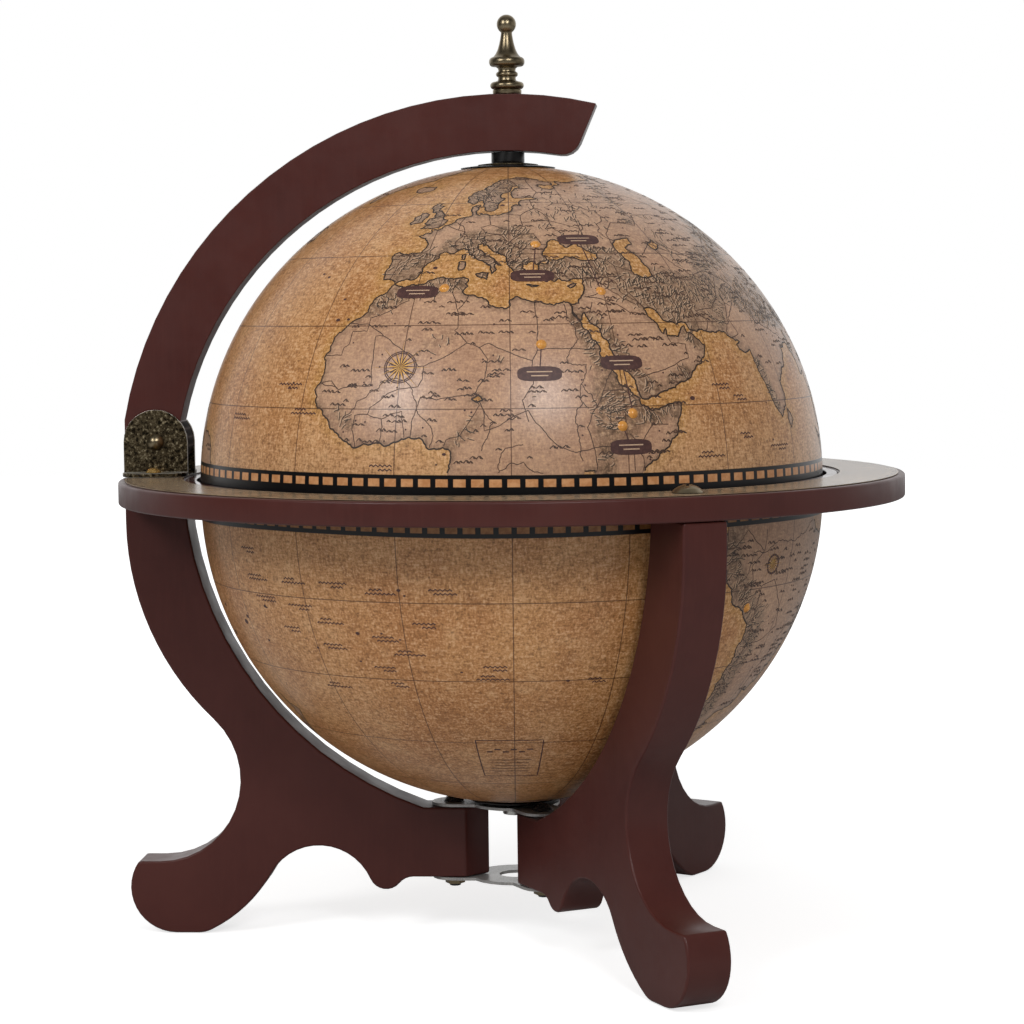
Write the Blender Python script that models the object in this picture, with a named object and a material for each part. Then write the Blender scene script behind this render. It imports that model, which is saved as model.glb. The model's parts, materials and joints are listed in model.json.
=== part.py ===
"""Table globe bar: a split globe in a three-legged stand, all sizes in metres, floor at z = 0.

The globe's axis is the Z axis. The meridian arm, its hinge and one leg lie on the -X side.
"""
from math import acos, asin, atan2, cos, hypot, pi, radians, sin, sqrt

import bmesh
import bpy
from mathutils import Matrix

# Clearances
SEAT = 0.0003             # between faces that rest on each other
RUN = 0.0003              # round a pin, screw or bolt
WALL_FIT = 0.0008         # between the boards and the wall of the bowl

# Globe halves
GLOBE_R = 0.165
SHELL_WALL = 0.003
POLE_FLAT_R = 0.020       # flat spot at each pole
HALF_SHIFT = 0.0078       # height between the centres of the two halves
HALF_GAP = 0.002          # open gap between the two mouths
RIM_H = 0.008
RIM_T = 0.003
POLE_DISC_R = 0.025
POLE_DISC_T = 0.0008

# Horizon ring
RING_GAP = 0.008          # from the globe to the ring
RING_W = 0.0350
RING_T = 0.012
RING_EDGE = 0.0025        # rounding of the ring's edges
RING_RISE = 0.0097        # ring top above the lower half's centre
PRINT_T = 0.0003
PRINT_MARGIN = 0.0035     # bare wood left outside the printed sheet
PRINT_INSET = 0.001       # and inside it
COLLAR_GAP = 0.002        # from the globe to the collar that lines the ring
COLLAR_T = 0.004

# Legs, as an outline in radius and height
LEG_ANGLES = {"left": 180.0, "front": 300.0, "back": 60.0}
LEG_T = 0.024
LEG_EASE = 0.0012         # easing of the sawn edges
LEG_INSET = 0.0014        # from the ring's edge to the leg
LEG_TOP_STRAIGHT = 0.0117
LEG_OUTER_ARC = 0.1473
INSTEP_ARC = 0.0448
FOOT_H = 0.039
FOOT_TOP_FLAT = 0.0114
FOOT_NOSE_ARC = 0.0246
FOOT_FLAT = 0.0155
HEEL_ARC = 0.078
HEEL_ROUND = 0.016        # between the heel and the floor
ARCH_H = 0.0477
ARCH_ARC = 0.030
DROP_DEPTH = 0.0069       # drop below the straight underside
DROP_ARC = 0.0093
DROP_FILLET = 0.010
DROP_AWAY = 0.0095        # from the hub plate's end to the drop's fillet
LEG_CLEAR = 0.0068        # least gap between leg and globe
LEG_INNER_SHIFT = 0.0164  # the inner edge's centre lies this far from the globe's
LEG_INNER_TILT = 34.4     # and at this angle above the horizontal
LEG_TIP_R = 0.014         # where the pointed inner end stops

# Hub
HUB_Z = 0.0309            # underside of the leg ends
LEG_END_H = 0.0376
HUB_PLATE_T = 0.0016
HUB_DISC_R = 0.024
HUB_HOLE_R = 0.009
HUB_BOLT_AT = 0.033
HUB_BOLT_R = 0.003
HUB_BOLT_HEAD_R = 0.0058
HUB_BOLT_HEAD_H = 0.0036
HUB_NUT_R = 0.0054
HUB_NUT_H = 0.0030
HUB_BOLT_END = 0.0014     # bolt end past its nut

# Pivot of the lower half
PIVOT_BOLT_R = 0.004
PIVOT_HEAD_R = 0.0068
PIVOT_HEAD_H = 0.005
PIVOT_WASHER_R = 0.019
PIVOT_WASHER_T = 0.001
PIVOT_INNER_R = 0.014
PIVOT_INNER_T = 0.0015
PIVOT_NUT_H = 0.005
PIVOT_BOLT_END = 0.002

# Screws through the ring into the legs
LEG_SCREW_R = 0.0025
LEG_SCREW_L = 0.032
LEG_SCREW_HEAD_R = 0.008
LEG_SCREW_HEAD_H = 0.0038
LEG_SCREW_SINK_R = 0.005  # countersunk head of the screw below the hinge
SLOT_W = 0.0014
SLOT_DEPTH = 0.0012

# Meridian arm
ARM_T = 0.018
ARM_EASE = 0.0014
ARM_GAP = 0.0134          # between globe radius and the arm's inner radius
ARM_W = 0.0298
ARM_SHIFT = 0.002         # arm centre beside the globe's axis
ARM_DROP = 0.0057         # arm centre below the upper half's centre
ARM_END_ANGLE = 76.3      # free end's top corner, from the horizontal
ARM_END_SLANT = 23.0      # slope of the free end's face
ARM_END_FILLET = 0.010
ARM_FOOT_R = 0.017        # round lower end on the hinge
ARM_FOOT_TRIM = 0.0017    # that end keeps inside the arm's outer edge
ARM_FOOT_CLEAR = 0.0014   # and above the ring

# Hinge
BRACKET_T = 0.002
BRACKET_R = 0.0172
BRACKET_FOOT = 0.013
BRACKET_CORNER = 0.0105   # rounding of the foot's corners
BRACKET_SCREW_R = 0.002
BRACKET_SCREW_L = 0.011
BRACKET_SCREW_HEAD_R = 0.0042
BRACKET_SCREW_HEAD_H = 0.0024
HINGE_PIN_R = 0.003
HINGE_HEAD_R = 0.0048
HINGE_HEAD_H = 0.0032
HINGE_NUT_R = 0.0055
HINGE_NUT_H = 0.0085
HINGE_NUT_WALL = 0.0025   # closed end of the cap nut

# Pole fittings of the upper half
POLE_ROD_R = 0.003
POLE_WASHER_R = 0.016
POLE_WASHER_T = 0.0014
POLE_WASHER_LIP = 0.0005
SPACER_R = 0.0088
SPACER_TOP = 0.0006       # spacer stays this far below the arm
POLE_INNER_R = 0.014
POLE_INNER_T = 0.0015
POLE_NUT_R = 0.0065
POLE_NUT_H = 0.005
POLE_ROD_END = 0.002
POLE_ROD_IN_FINIAL = 0.020

# Finial, heights above its base
FINIAL_BASE_R = 0.0074
FINIAL_BASE_H = 0.0022
FINIAL_BEAD_R = 0.0090
FINIAL_BEAD_Z = 0.0042
FINIAL_NECK_R = 0.0050
FINIAL_NECK_Z = 0.0072
FINIAL_COLLAR_R = 0.0059
FINIAL_COLLAR_Z = 0.0107
FINIAL_WAIST_R = 0.0047
FINIAL_WAIST_Z = 0.0135
FINIAL_BELL_R = 0.0094
FINIAL_BELL_Z = 0.0166
FINIAL_BELL_LIP = 0.0030
FINIAL_STEM_R = 0.0054
FINIAL_STEM_Z = 0.0229
FINIAL_TOP_R = 0.0028
FINIAL_TOP_Z = 0.0322
FINIAL_BALL_R = 0.0051

# Boards inside the bowl
BASE_T = 0.005
BASE_LIFT = 0.001         # bottle base above the pivot bolt's end
SHELF_Z = 0.146
SHELF_T = 0.005
TRAY_Z = 0.184
TRAY_T = 0.006
BOTTLE_HOLE_R = 0.048
GLASS_HOLE_R = 0.034
GLASS_HOLES = 6
GLASS_HOLES_AT = 0.096

# Mesh fineness
LARGE_STEPS = 48
DISC_STEPS = 20
SMALL_STEPS = 12
SHELL_RINGS = 8
ARM_CURVE = 24            # stretches along the arm
LONG_CURVE = 14           # along a long curve of a leg
SHORT_CURVE = 8
TIGHT_CURVE = 4

# Heights and radii that follow from the sizes above
hub_top = HUB_Z + LEG_END_H
top_plate_z = hub_top + SEAT
bottom_plate_z = HUB_Z - SEAT - HUB_PLATE_T
pivot_washer_z = top_plate_z + HUB_PLATE_T + SEAT
south_disc_z = pivot_washer_z + PIVOT_WASHER_T + SEAT
south_flat_z = south_disc_z + POLE_DISC_T + SEAT
flat_depth = sqrt(GLOBE_R ** 2 - POLE_FLAT_R ** 2)
lower_z = south_flat_z + flat_depth
upper_z = lower_z + HALF_SHIFT
north_flat_z = upper_z + flat_depth
skirt = (HALF_SHIFT - HALF_GAP) / 2
mouth_r = GLOBE_R - SHELL_WALL
ring_in = GLOBE_R + RING_GAP
ring_out = ring_in + RING_W
ring_top = lower_z + RING_RISE
ring_low = ring_top - RING_T
leg_top = ring_low - SEAT
print_z = ring_top + SEAT
print_top = print_z + PRINT_T
fitting_z = print_top + SEAT
arm_in = GLOBE_R + ARM_GAP
arm_out = arm_in + ARM_W
arm_x = -ARM_SHIFT
arm_z = upper_z - ARM_DROP
arm_under = arm_z + sqrt(arm_in ** 2 - ARM_SHIFT ** 2)
arm_over = arm_z + sqrt(arm_out ** 2 - ARM_SHIFT ** 2)
hinge_z = print_top + ARM_FOOT_CLEAR + ARM_FOOT_R
hinge_reach = arm_out - ARM_FOOT_R - ARM_FOOT_TRIM
hinge_x = arm_x - sqrt(hinge_reach ** 2 - (hinge_z - arm_z) ** 2)
screw_at = -hinge_x
plate_end = HUB_BOLT_AT + LEG_T / 2


def clear_scene():
    for ob in list(bpy.data.objects):
        bpy.data.objects.remove(ob, do_unlink=True)


def material(name, colour, roughness, metallic=0.0):
    found = bpy.data.materials.get(name)
    if found:
        return found
    mat = bpy.data.materials.new(name)
    mat.use_nodes = True
    shader = mat.node_tree.nodes["Principled BSDF"]
    shader.inputs["Base Color"].default_value = (*colour, 1.0)
    shader.inputs["Roughness"].default_value = roughness
    shader.inputs["Metallic"].default_value = metallic
    return mat


def stained_wood():
    return material("stained_wood", (0.062, 0.021, 0.017), 0.42)


def tray_wood():
    return material("tray_wood", (0.115, 0.045, 0.026), 0.45)


def map_paper():
    return material("map_paper", (0.42, 0.26, 0.14), 0.38)


def ring_paper():
    return material("ring_paper", (0.17, 0.12, 0.08), 0.3)


def black_edge():
    return material("black_edge", (0.012, 0.010, 0.009), 0.45)


def black_steel():
    return material("black_steel", (0.02, 0.02, 0.02), 0.4, 0.6)


def antique_brass():
    return material("antique_brass", (0.085, 0.066, 0.036), 0.38, 0.9)


def zinc_steel():
    return material("zinc_steel", (0.5, 0.5, 0.5), 0.35, 1.0)


def add_object(name, bm, mat, smooth_above=None):
    """Closes a mesh under a name, smooth across edges flatter than the given angle."""
    bmesh.ops.remove_doubles(bm, verts=bm.verts, dist=1e-7)
    bmesh.ops.recalc_face_normals(bm, faces=bm.faces)
    mesh = bpy.data.meshes.new(name)
    bm.to_mesh(mesh)
    bm.free()
    if smooth_above is not None:
        mesh.shade_smooth()
        mesh.set_sharp_from_angle(angle=radians(smooth_above))
    ob = bpy.data.objects.new(name, mesh)
    bpy.context.scene.collection.objects.link(ob)
    if mat:
        mesh.materials.append(mat)
    return ob


def axis_empty(name, location, parent=None):
    ob = bpy.data.objects.new(name, None)
    bpy.context.scene.collection.objects.link(ob)
    ob.location = location
    if parent:
        carry(ob, parent)
    return ob


def carry(ob, empty):
    """Hangs an object on an axis and leaves it where it is."""
    bpy.context.view_layer.update()
    ob.parent = empty
    ob.matrix_parent_inverse = empty.matrix_world.inverted()
    return ob


def arc(centre, radius, start, end, steps):
    """Points on a circle, angles in radians, both ends included."""
    turn = (end - start) / steps
    return [(centre[0] + radius * cos(start + turn * i), centre[1] + radius * sin(start + turn * i))
            for i in range(steps + 1)]


def circle(centre, radius, steps):
    return arc(centre, radius, 0.0, 2 * pi, steps)[:-1]


def turned_mesh(profile, steps, closed=False):
    """Spins a profile of radius and height about Z; an open profile starts and ends on the axis."""
    bm = bmesh.new()
    verts = [bm.verts.new((r, 0.0, z)) for r, z in profile]
    edges = [bm.edges.new(pair) for pair in zip(verts, verts[1:])]
    if closed:
        edges.append(bm.edges.new((verts[-1], verts[0])))
    bmesh.ops.spin(bm, geom=verts + edges, cent=(0, 0, 0), axis=(0, 0, 1), angle=2 * pi, steps=steps,
                   use_merge=True)
    bmesh.ops.remove_doubles(bm, verts=bm.verts, dist=1e-7)
    return bm


def turned(name, profile, steps, mat, closed=False, smooth_above=35):
    return add_object(name, turned_mesh(profile, steps, closed), mat, smooth_above)


def washer(name, hole_r, outer_r, low, high, mat, steps=DISC_STEPS):
    profile = [(hole_r, low), (outer_r, low), (outer_r, high), (hole_r, high)]
    return turned(name, profile, steps, mat, closed=True)


def prism_mesh(loops, low, high):
    """Board cut to the first outline, with the other outlines as holes, between two heights."""
    bm = bmesh.new()
    edges = []
    for loop in loops:
        verts = [bm.verts.new((x, y, low)) for x, y in loop]
        edges += [bm.edges.new((verts[i - 1], verts[i])) for i in range(len(verts))]
    bmesh.ops.triangle_fill(bm, use_beauty=True, use_dissolve=False, edges=edges)
    grown = bmesh.ops.extrude_face_region(bm, geom=bm.faces[:])["geom"]
    raised = [v for v in grown if isinstance(v, bmesh.types.BMVert)]
    bmesh.ops.translate(bm, verts=raised, vec=(0, 0, high - low))
    return bm


def prism(name, loops, low, high, mat, smooth_above=35):
    return add_object(name, prism_mesh(loops, low, high), mat, smooth_above)


def turn_about_z(bm, degrees_about_z):
    bmesh.ops.transform(bm, matrix=Matrix.Rotation(radians(degrees_about_z), 4, "Z"), verts=bm.verts)
    return bm


def move(bm, x, y, z):
    bmesh.ops.translate(bm, verts=bm.verts, vec=(x, y, z))
    return bm


def along_y(bm):
    """Lays what was made along Z so that its top points to -Y."""
    bmesh.ops.transform(bm, matrix=Matrix.Rotation(radians(90), 4, "X"), verts=bm.verts)
    return bm


def cut(target, bm):
    """Takes a mesh out of an object with a hidden cutter."""
    cutter = add_object(target.name + "_cutter", bm, None)
    cutter.hide_render = True
    cutter.display_type = "WIRE"
    boolean = target.modifiers.new("cut", "BOOLEAN")
    boolean.operation = "DIFFERENCE"
    boolean.solver = "EXACT"
    boolean.object = cutter
    return target


def rod_mesh(radius, low, high, steps=SMALL_STEPS):
    return turned_mesh([(0, low), (radius, low), (radius, high), (0, high)], steps)


def drill_mesh(radius, low, high):
    """Cutter for a round hole, turned half a facet so that its corners miss the edges of the boards."""
    return turn_about_z(rod_mesh(radius, low, high), 180 / SMALL_STEPS)


def box_mesh(size_x, size_y, low, high):
    half_x = size_x / 2
    half_y = size_y / 2
    outline = [(-half_x, -half_y), (half_x, -half_y), (half_x, half_y), (-half_x, half_y)]
    return prism_mesh([outline], low, high)


def ease(ob, width, angle=40):
    """Breaks the sharp edges of a board."""
    bevel = ob.modifiers.new("ease", "BEVEL")
    bevel.width = width
    bevel.segments = 2
    bevel.limit_method = "ANGLE"
    bevel.angle_limit = radians(angle)
    return ob


def dome(radius, height, base_z):
    """Profile of a domed head from its edge to its top."""
    ball_r = (radius ** 2 + height ** 2) / (2 * height)
    reach = asin(radius / ball_r)
    return arc((0, base_z + height - ball_r), ball_r, pi / 2 - reach, pi / 2, TIGHT_CURVE)


def domed_screw(head_r, head_h, shank_r, length, seat_z):
    profile = [(0, seat_z - length), (shank_r, seat_z - length), (shank_r, seat_z)]
    return turned_mesh(profile + dome(head_r, head_h, seat_z), SMALL_STEPS)


def slot(ob, x, y, top_z, head_r, facing):
    """Cuts a screwdriver slot that points the given way."""
    blade = box_mesh(2.5 * head_r, SLOT_W, top_z - SLOT_DEPTH, top_z + SLOT_DEPTH)
    return cut(ob, move(turn_about_z(blade, facing), x, y, 0))


def at_angle(radius, degrees_about_z):
    turn = radians(degrees_about_z)
    return radius * cos(turn), radius * sin(turn)


def half_shell(name, centre_z, up, mat):
    """Half globe with a flat pole, a short straight skirt and a hole for its pin."""
    hole = (POLE_ROD_R if up > 0 else PIVOT_BOLT_R) + RUN
    pole = acos(POLE_FLAT_R / GLOBE_R)
    inner_pole_z = flat_depth - SHELL_WALL
    inner_pole = asin(inner_pole_z / mouth_r)
    outside = [(GLOBE_R, -skirt)] + arc((0, 0), GLOBE_R, 0, pole, SHELL_RINGS) + [(hole, flat_depth)]
    inside = [(hole, inner_pole_z)] + arc((0, 0), mouth_r, inner_pole, 0, SHELL_RINGS) + [(mouth_r, -skirt)]
    profile = [(r, centre_z + up * z) for r, z in outside + inside]
    return turned(name, profile, LARGE_STEPS, mat, closed=True)


def rim_hoop(name, centre_z, up):
    """Black hoop inside the mouth of a half."""
    outer_r = sqrt((mouth_r - WALL_FIT) ** 2 - (RIM_H - skirt) ** 2)
    edge = centre_z - up * skirt
    low, high = sorted((edge, edge + up * RIM_H))
    return washer(name, outer_r - RIM_T, outer_r, low, high, black_edge(), LARGE_STEPS)


def horizon_ring():
    """Flat ring with rounded outer edges; its inner top edge is left square for the collar."""
    mid = (ring_in + RING_EDGE, ring_out - RING_EDGE, ring_low + RING_EDGE, ring_top - RING_EDGE)
    profile = arc((mid[1], mid[2]), RING_EDGE, -pi / 2, 0, 2)
    profile += arc((mid[1], mid[3]), RING_EDGE, 0, pi / 2, 2)
    profile.append((ring_in, ring_top))
    profile += arc((mid[0], mid[2]), RING_EDGE, pi, 1.5 * pi, 1)
    ring = turned("horizon_ring", profile, LARGE_STEPS, stained_wood(), closed=True)
    for name, angle in LEG_ANGLES.items():
        x, y = at_angle(screw_at, angle)
        hole = drill_mesh(LEG_SCREW_R + RUN, ring_low - RING_T, ring_top + RING_T)
        if name == "left":
            hole.free()
            hole = turned_mesh(sunk_profile(RUN, ring_low - RING_T, ring_top + RING_T), SMALL_STEPS)
        cut(ring, move(hole, x, y, 0))
    for side in (-1, 1):
        x, y = bracket_screw_place(side)
        hole = drill_mesh(BRACKET_SCREW_R + RUN, fitting_z - BRACKET_SCREW_L, ring_top + RING_T)
        cut(ring, move(hole, x, y, 0))
    return ring


def ring_collar():
    """Narrow hoop that lines the ring, flush with its top, and comes close to the globe."""
    inner_r = GLOBE_R + COLLAR_GAP
    outer_r = ring_in - SEAT
    return washer("ring_collar", inner_r, outer_r, ring_top - COLLAR_T, ring_top, stained_wood(), LARGE_STEPS)


def sunk_profile(grown, low, high):
    """Countersunk head and shank, grown all round by a clearance; a cutter runs on to a height."""
    head_r = LEG_SCREW_SINK_R + grown
    shank_r = LEG_SCREW_R + grown
    head_top = ring_top - SEAT
    cone_z = head_top - (LEG_SCREW_SINK_R - LEG_SCREW_R)
    profile = [(0, low), (shank_r, low), (shank_r, cone_z), (head_r, head_top)]
    if high > head_top:
        profile.append((head_r, high))
    return profile + [(0, max(high, head_top))]


def ring_print():
    """Thin printed sheet on the ring, with holes for the screws."""
    sheet = washer("ring_print", ring_in + PRINT_INSET, ring_out - PRINT_MARGIN, print_z, print_top,
                   ring_paper(), LARGE_STEPS)
    for name, angle in LEG_ANGLES.items():
        x, y = at_angle(screw_at, angle)
        hole_r = (LEG_SCREW_SINK_R if name == "left" else LEG_SCREW_R) + RUN
        cut(sheet, move(drill_mesh(hole_r, ring_top, fitting_z), x, y, 0))
    for side in (-1, 1):
        x, y = bracket_screw_place(side)
        cut(sheet, move(drill_mesh(BRACKET_SCREW_R + RUN, ring_top, fitting_z), x, y, 0))
    return sheet


def meet(first, first_r, second, second_r):
    """The left-hand crossing of two circles, seen along the way from the first to the second."""
    gap = hypot(second[0] - first[0], second[1] - first[1])
    along = (first_r ** 2 - second_r ** 2 + gap ** 2) / (2 * gap)
    aside = sqrt(first_r ** 2 - along ** 2)
    ux = (second[0] - first[0]) / gap
    uz = (second[1] - first[1]) / gap
    return first[0] + along * ux - aside * uz, first[1] + along * uz + aside * ux


def towards(first, second):
    return atan2(second[1] - first[1], second[0] - first[0])


def leg_outline():
    """Leg outline as radius and height: down the outside, round the foot, back below and up the inside.

    Every round stretch is an arc that runs smoothly into the next.
    """
    top_r = ring_out - LEG_INSET
    outer = (top_r - LEG_OUTER_ARC, leg_top - LEG_TOP_STRAIGHT)
    instep_z = FOOT_H + INSTEP_ARC
    reach = LEG_OUTER_ARC + INSTEP_ARC
    instep = (outer[0] + sqrt(reach ** 2 - (outer[1] - instep_z) ** 2), instep_z)
    nose_start = asin(FOOT_H / FOOT_NOSE_ARC - 1)
    nose = (instep[0] + FOOT_TOP_FLAT - FOOT_NOSE_ARC * cos(nose_start), FOOT_NOSE_ARC)
    heel_end = (nose[0] - FOOT_FLAT, 0.0)
    fillet = (plate_end + DROP_AWAY, HUB_Z - DROP_FILLET)
    drop_z = HUB_Z - DROP_DEPTH + DROP_ARC
    drop_reach = DROP_ARC + DROP_FILLET
    drop = (fillet[0] + sqrt(drop_reach ** 2 - (drop_z - fillet[1]) ** 2), drop_z)
    arch_z = ARCH_H - ARCH_ARC
    arch_reach = ARCH_ARC + DROP_ARC
    arch = (drop[0] + sqrt(arch_reach ** 2 - (drop_z - arch_z) ** 2), arch_z)
    heel = meet(arch, ARCH_ARC + HEEL_ARC, heel_end, HEEL_ARC)
    sole_back = sqrt((HEEL_ARC - HEEL_ROUND) ** 2 - (heel[1] - HEEL_ROUND) ** 2)
    sole = (heel[0] - sole_back, HEEL_ROUND)
    tilt = radians(LEG_INNER_TILT)
    inner_r = GLOBE_R + LEG_CLEAR + LEG_INNER_SHIFT
    inner = (-LEG_INNER_SHIFT * cos(tilt), lower_z + LEG_INNER_SHIFT * sin(tilt))

    to_instep = towards(outer, instep)
    to_sole = towards(heel, sole) + 2 * pi
    to_arch = towards(heel, arch) + 2 * pi
    to_drop = towards(arch, drop)
    to_fillet = towards(drop, fillet)
    points = [(top_r, leg_top)]
    points += arc(outer, LEG_OUTER_ARC, 0, to_instep, LONG_CURVE)
    points += arc(instep, INSTEP_ARC, to_instep + pi, 1.5 * pi, LONG_CURVE)[1:]
    points += arc(nose, FOOT_NOSE_ARC, nose_start, -pi / 2, LONG_CURVE)
    points += arc(sole, HEEL_ROUND, 1.5 * pi, to_sole, TIGHT_CURVE)
    points += arc(heel, HEEL_ARC, to_sole, to_arch, SHORT_CURVE)[1:]
    points += arc(arch, ARCH_ARC, to_arch - pi, to_drop, LONG_CURVE)[1:]
    points += arc(drop, DROP_ARC, to_drop - pi, to_fillet, SHORT_CURVE)[1:]
    points += arc(fillet, DROP_FILLET, to_fillet + pi, pi / 2, TIGHT_CURVE)[1:]
    inner_start = asin((hub_top - inner[1]) / inner_r)
    inner_end = asin((leg_top - inner[1]) / inner_r)
    return points, arc(inner, inner_r, inner_start, inner_end, LONG_CURVE)


def leg(name, angle):
    """Leg sawn from board with a pointed inner end, drilled for the hub bolt and the ring screw."""
    outside, inside = leg_outline()
    bm = bmesh.new()
    layers = []
    half = LEG_T / 2
    for y, end_r in ((-half, LEG_TIP_R + half), (0.0, LEG_TIP_R), (half, LEG_TIP_R + half)):
        outline = outside + [(end_r, HUB_Z), (end_r, hub_top)] + inside
        layers.append([bm.verts.new((r, y, z)) for r, z in outline])
    count = len(layers[0])
    bm.faces.new(layers[0])
    bm.faces.new(layers[2])
    for low, high in zip(layers, layers[1:]):
        for i in range(count):
            bm.faces.new((low[i - 1], low[i], high[i], high[i - 1]))
    ob = add_object("leg_" + name, turn_about_z(bm, angle), stained_wood(), 35)
    ease(ob, LEG_EASE)
    x, y = at_angle(HUB_BOLT_AT, angle)
    cut(ob, move(drill_mesh(HUB_BOLT_R + RUN, HUB_Z - LEG_END_H, hub_top + LEG_END_H), x, y, 0))
    x, y = at_angle(screw_at, angle)
    cut(ob, move(drill_mesh(LEG_SCREW_R + RUN, fitting_z - LEG_SCREW_L - SEAT, ring_top), x, y, 0))
    return ob


def leg_screw(name, angle):
    """Domed slotted screw through the ring; the one below the hinge is countersunk."""
    x, y = at_angle(screw_at, angle)
    if name == "left":
        bm = turned_mesh(sunk_profile(0.0, fitting_z - LEG_SCREW_L, 0.0), SMALL_STEPS)
        top_z = ring_top - SEAT
        head_r = LEG_SCREW_SINK_R
    else:
        bm = domed_screw(LEG_SCREW_HEAD_R, LEG_SCREW_HEAD_H, LEG_SCREW_R, LEG_SCREW_L, fitting_z)
        top_z = fitting_z + LEG_SCREW_HEAD_H
        head_r = LEG_SCREW_HEAD_R
    ob = add_object("leg_screw_" + name, move(bm, x, y, 0), antique_brass(), 35)
    return slot(ob, x, y, top_z, head_r, 90)


def hub_outline():
    """Round plate with a lobe along each leg."""
    half = LEG_T / 2
    corner = sqrt(HUB_DISC_R ** 2 - half ** 2)
    points = []
    for angle in sorted(LEG_ANGLES.values()):
        lobe = [(corner, -half)]
        lobe += arc((HUB_BOLT_AT, 0), half, -pi / 2, pi / 2, SHORT_CURVE)
        lobe += [(corner, half)]
        half_arc = asin(half / HUB_DISC_R)
        lobe += arc((0, 0), HUB_DISC_R, half_arc, radians(120) - half_arc, TIGHT_CURVE)[1:-1]
        turn = radians(angle)
        points += [(x * cos(turn) - y * sin(turn), x * sin(turn) + y * cos(turn)) for x, y in lobe]
    return points


def hub_plate(name, low, hole_r):
    holes = [circle((0, 0), hole_r, SMALL_STEPS)]
    holes += [circle(at_angle(HUB_BOLT_AT, a), HUB_BOLT_R + RUN, SMALL_STEPS) for a in LEG_ANGLES.values()]
    return prism(name, [hub_outline()] + holes, low, low + HUB_PLATE_T, black_steel())


def hub_bolt(name, angle):
    x, y = at_angle(HUB_BOLT_AT, angle)
    seat_z = pivot_washer_z
    end_z = bottom_plate_z - SEAT - HUB_NUT_H - HUB_BOLT_END
    bm = domed_screw(HUB_BOLT_HEAD_R, HUB_BOLT_HEAD_H, HUB_BOLT_R, seat_z - end_z, seat_z)
    return add_object("hub_bolt_" + name, move(bm, x, y, 0), black_steel(), 35)


def hex_nut(name, x, y, nut_r, hole_r, low, high, mat):
    loops = [circle((x, y), nut_r, 6), circle((x, y), hole_r, SMALL_STEPS)]
    return prism(name, loops, low, high, mat)


def hub_nut(name, angle):
    x, y = at_angle(HUB_BOLT_AT, angle)
    high = bottom_plate_z - SEAT
    low = high - HUB_NUT_H
    return hex_nut("hub_nut_" + name, x, y, HUB_NUT_R, HUB_BOLT_R + RUN, low, high, black_steel())


def bracket_screw_place(side):
    foot_mid = ARM_T / 2 + SEAT + BRACKET_T + BRACKET_FOOT / 2
    return hinge_x, side * foot_mid


def bracket(name, side):
    """Upright plate with a round top and a foot bent outwards, screwed to the ring."""
    inner_y = ARM_T / 2 + SEAT
    foot_top = fitting_z + BRACKET_T
    low_left = (hinge_x - BRACKET_R, fitting_z)
    low_right = (hinge_x + BRACKET_R, fitting_z)
    strip = [low_left, low_right, (low_right[0], foot_top), (low_left[0], foot_top)]
    plate = [strip[3], strip[2]] + arc((hinge_x, hinge_z), BRACKET_R, 0, pi, LONG_CURVE)
    bm = bmesh.new()
    for outline in (strip, plate):
        bm.faces.new([bm.verts.new((x, inner_y, z)) for x, z in outline])
    bmesh.ops.remove_doubles(bm, verts=bm.verts, dist=1e-7)
    grown = bmesh.ops.extrude_face_region(bm, geom=bm.faces[:])["geom"]
    plate_verts = [v for v in grown if isinstance(v, bmesh.types.BMVert)]
    bmesh.ops.translate(bm, verts=plate_verts, vec=(0, BRACKET_T, 0))
    outer = [f for f in grown if isinstance(f, bmesh.types.BMFace)]
    foot = [f for f in outer if f.calc_center_median().z < foot_top]
    foot_grown = bmesh.ops.extrude_face_region(bm, geom=foot)["geom"]
    foot_verts = [v for v in foot_grown if isinstance(v, bmesh.types.BMVert)]
    bmesh.ops.translate(bm, verts=foot_verts, vec=(0, BRACKET_FOOT, 0))
    bmesh.ops.delete(bm, geom=foot, context="FACES_ONLY")
    rim = [e for e in bm.edges if set(e.verts) <= set(foot_verts)]
    corners = [e for e in rim if e.verts[0].co.x == e.verts[1].co.x]
    bmesh.ops.bevel(bm, geom=corners, offset=BRACKET_CORNER, segments=SHORT_CURVE, profile=0.5,
                    affect="EDGES")
    bmesh.ops.scale(bm, vec=(1, side, 1), verts=bm.verts)
    ob = add_object(name, bm, antique_brass(), 35)
    cut(ob, hinge_hole())
    x, y = bracket_screw_place(side)
    return cut(ob, move(drill_mesh(BRACKET_SCREW_R + RUN, ring_top, hinge_z), x, y, 0))


def hinge_hole():
    return move(along_y(drill_mesh(HINGE_PIN_R + RUN, -2 * ARM_T, 2 * ARM_T)), hinge_x, 0, hinge_z)


def bracket_screw(name, side):
    x, y = bracket_screw_place(side)
    seat_z = fitting_z + BRACKET_T + SEAT
    length = seat_z - (fitting_z - BRACKET_SCREW_L + SEAT)
    bm = domed_screw(BRACKET_SCREW_HEAD_R, BRACKET_SCREW_HEAD_H, BRACKET_SCREW_R, length, seat_z)
    ob = add_object(name, move(bm, x, y, 0), antique_brass(), 35)
    return slot(ob, x, y, seat_z + BRACKET_SCREW_HEAD_H, BRACKET_SCREW_HEAD_R, 30)


def hinge_pin():
    """Pin with a domed head on the front bracket, through to the cap nut behind."""
    seat_y = ARM_T / 2 + SEAT + BRACKET_T + SEAT
    length = 2 * seat_y + HINGE_NUT_H - HINGE_NUT_WALL - SEAT
    bm = domed_screw(HINGE_HEAD_R, HINGE_HEAD_H, HINGE_PIN_R, length, seat_y)
    return add_object("hinge_pin", move(along_y(bm), hinge_x, 0, hinge_z), antique_brass(), 35)


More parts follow.
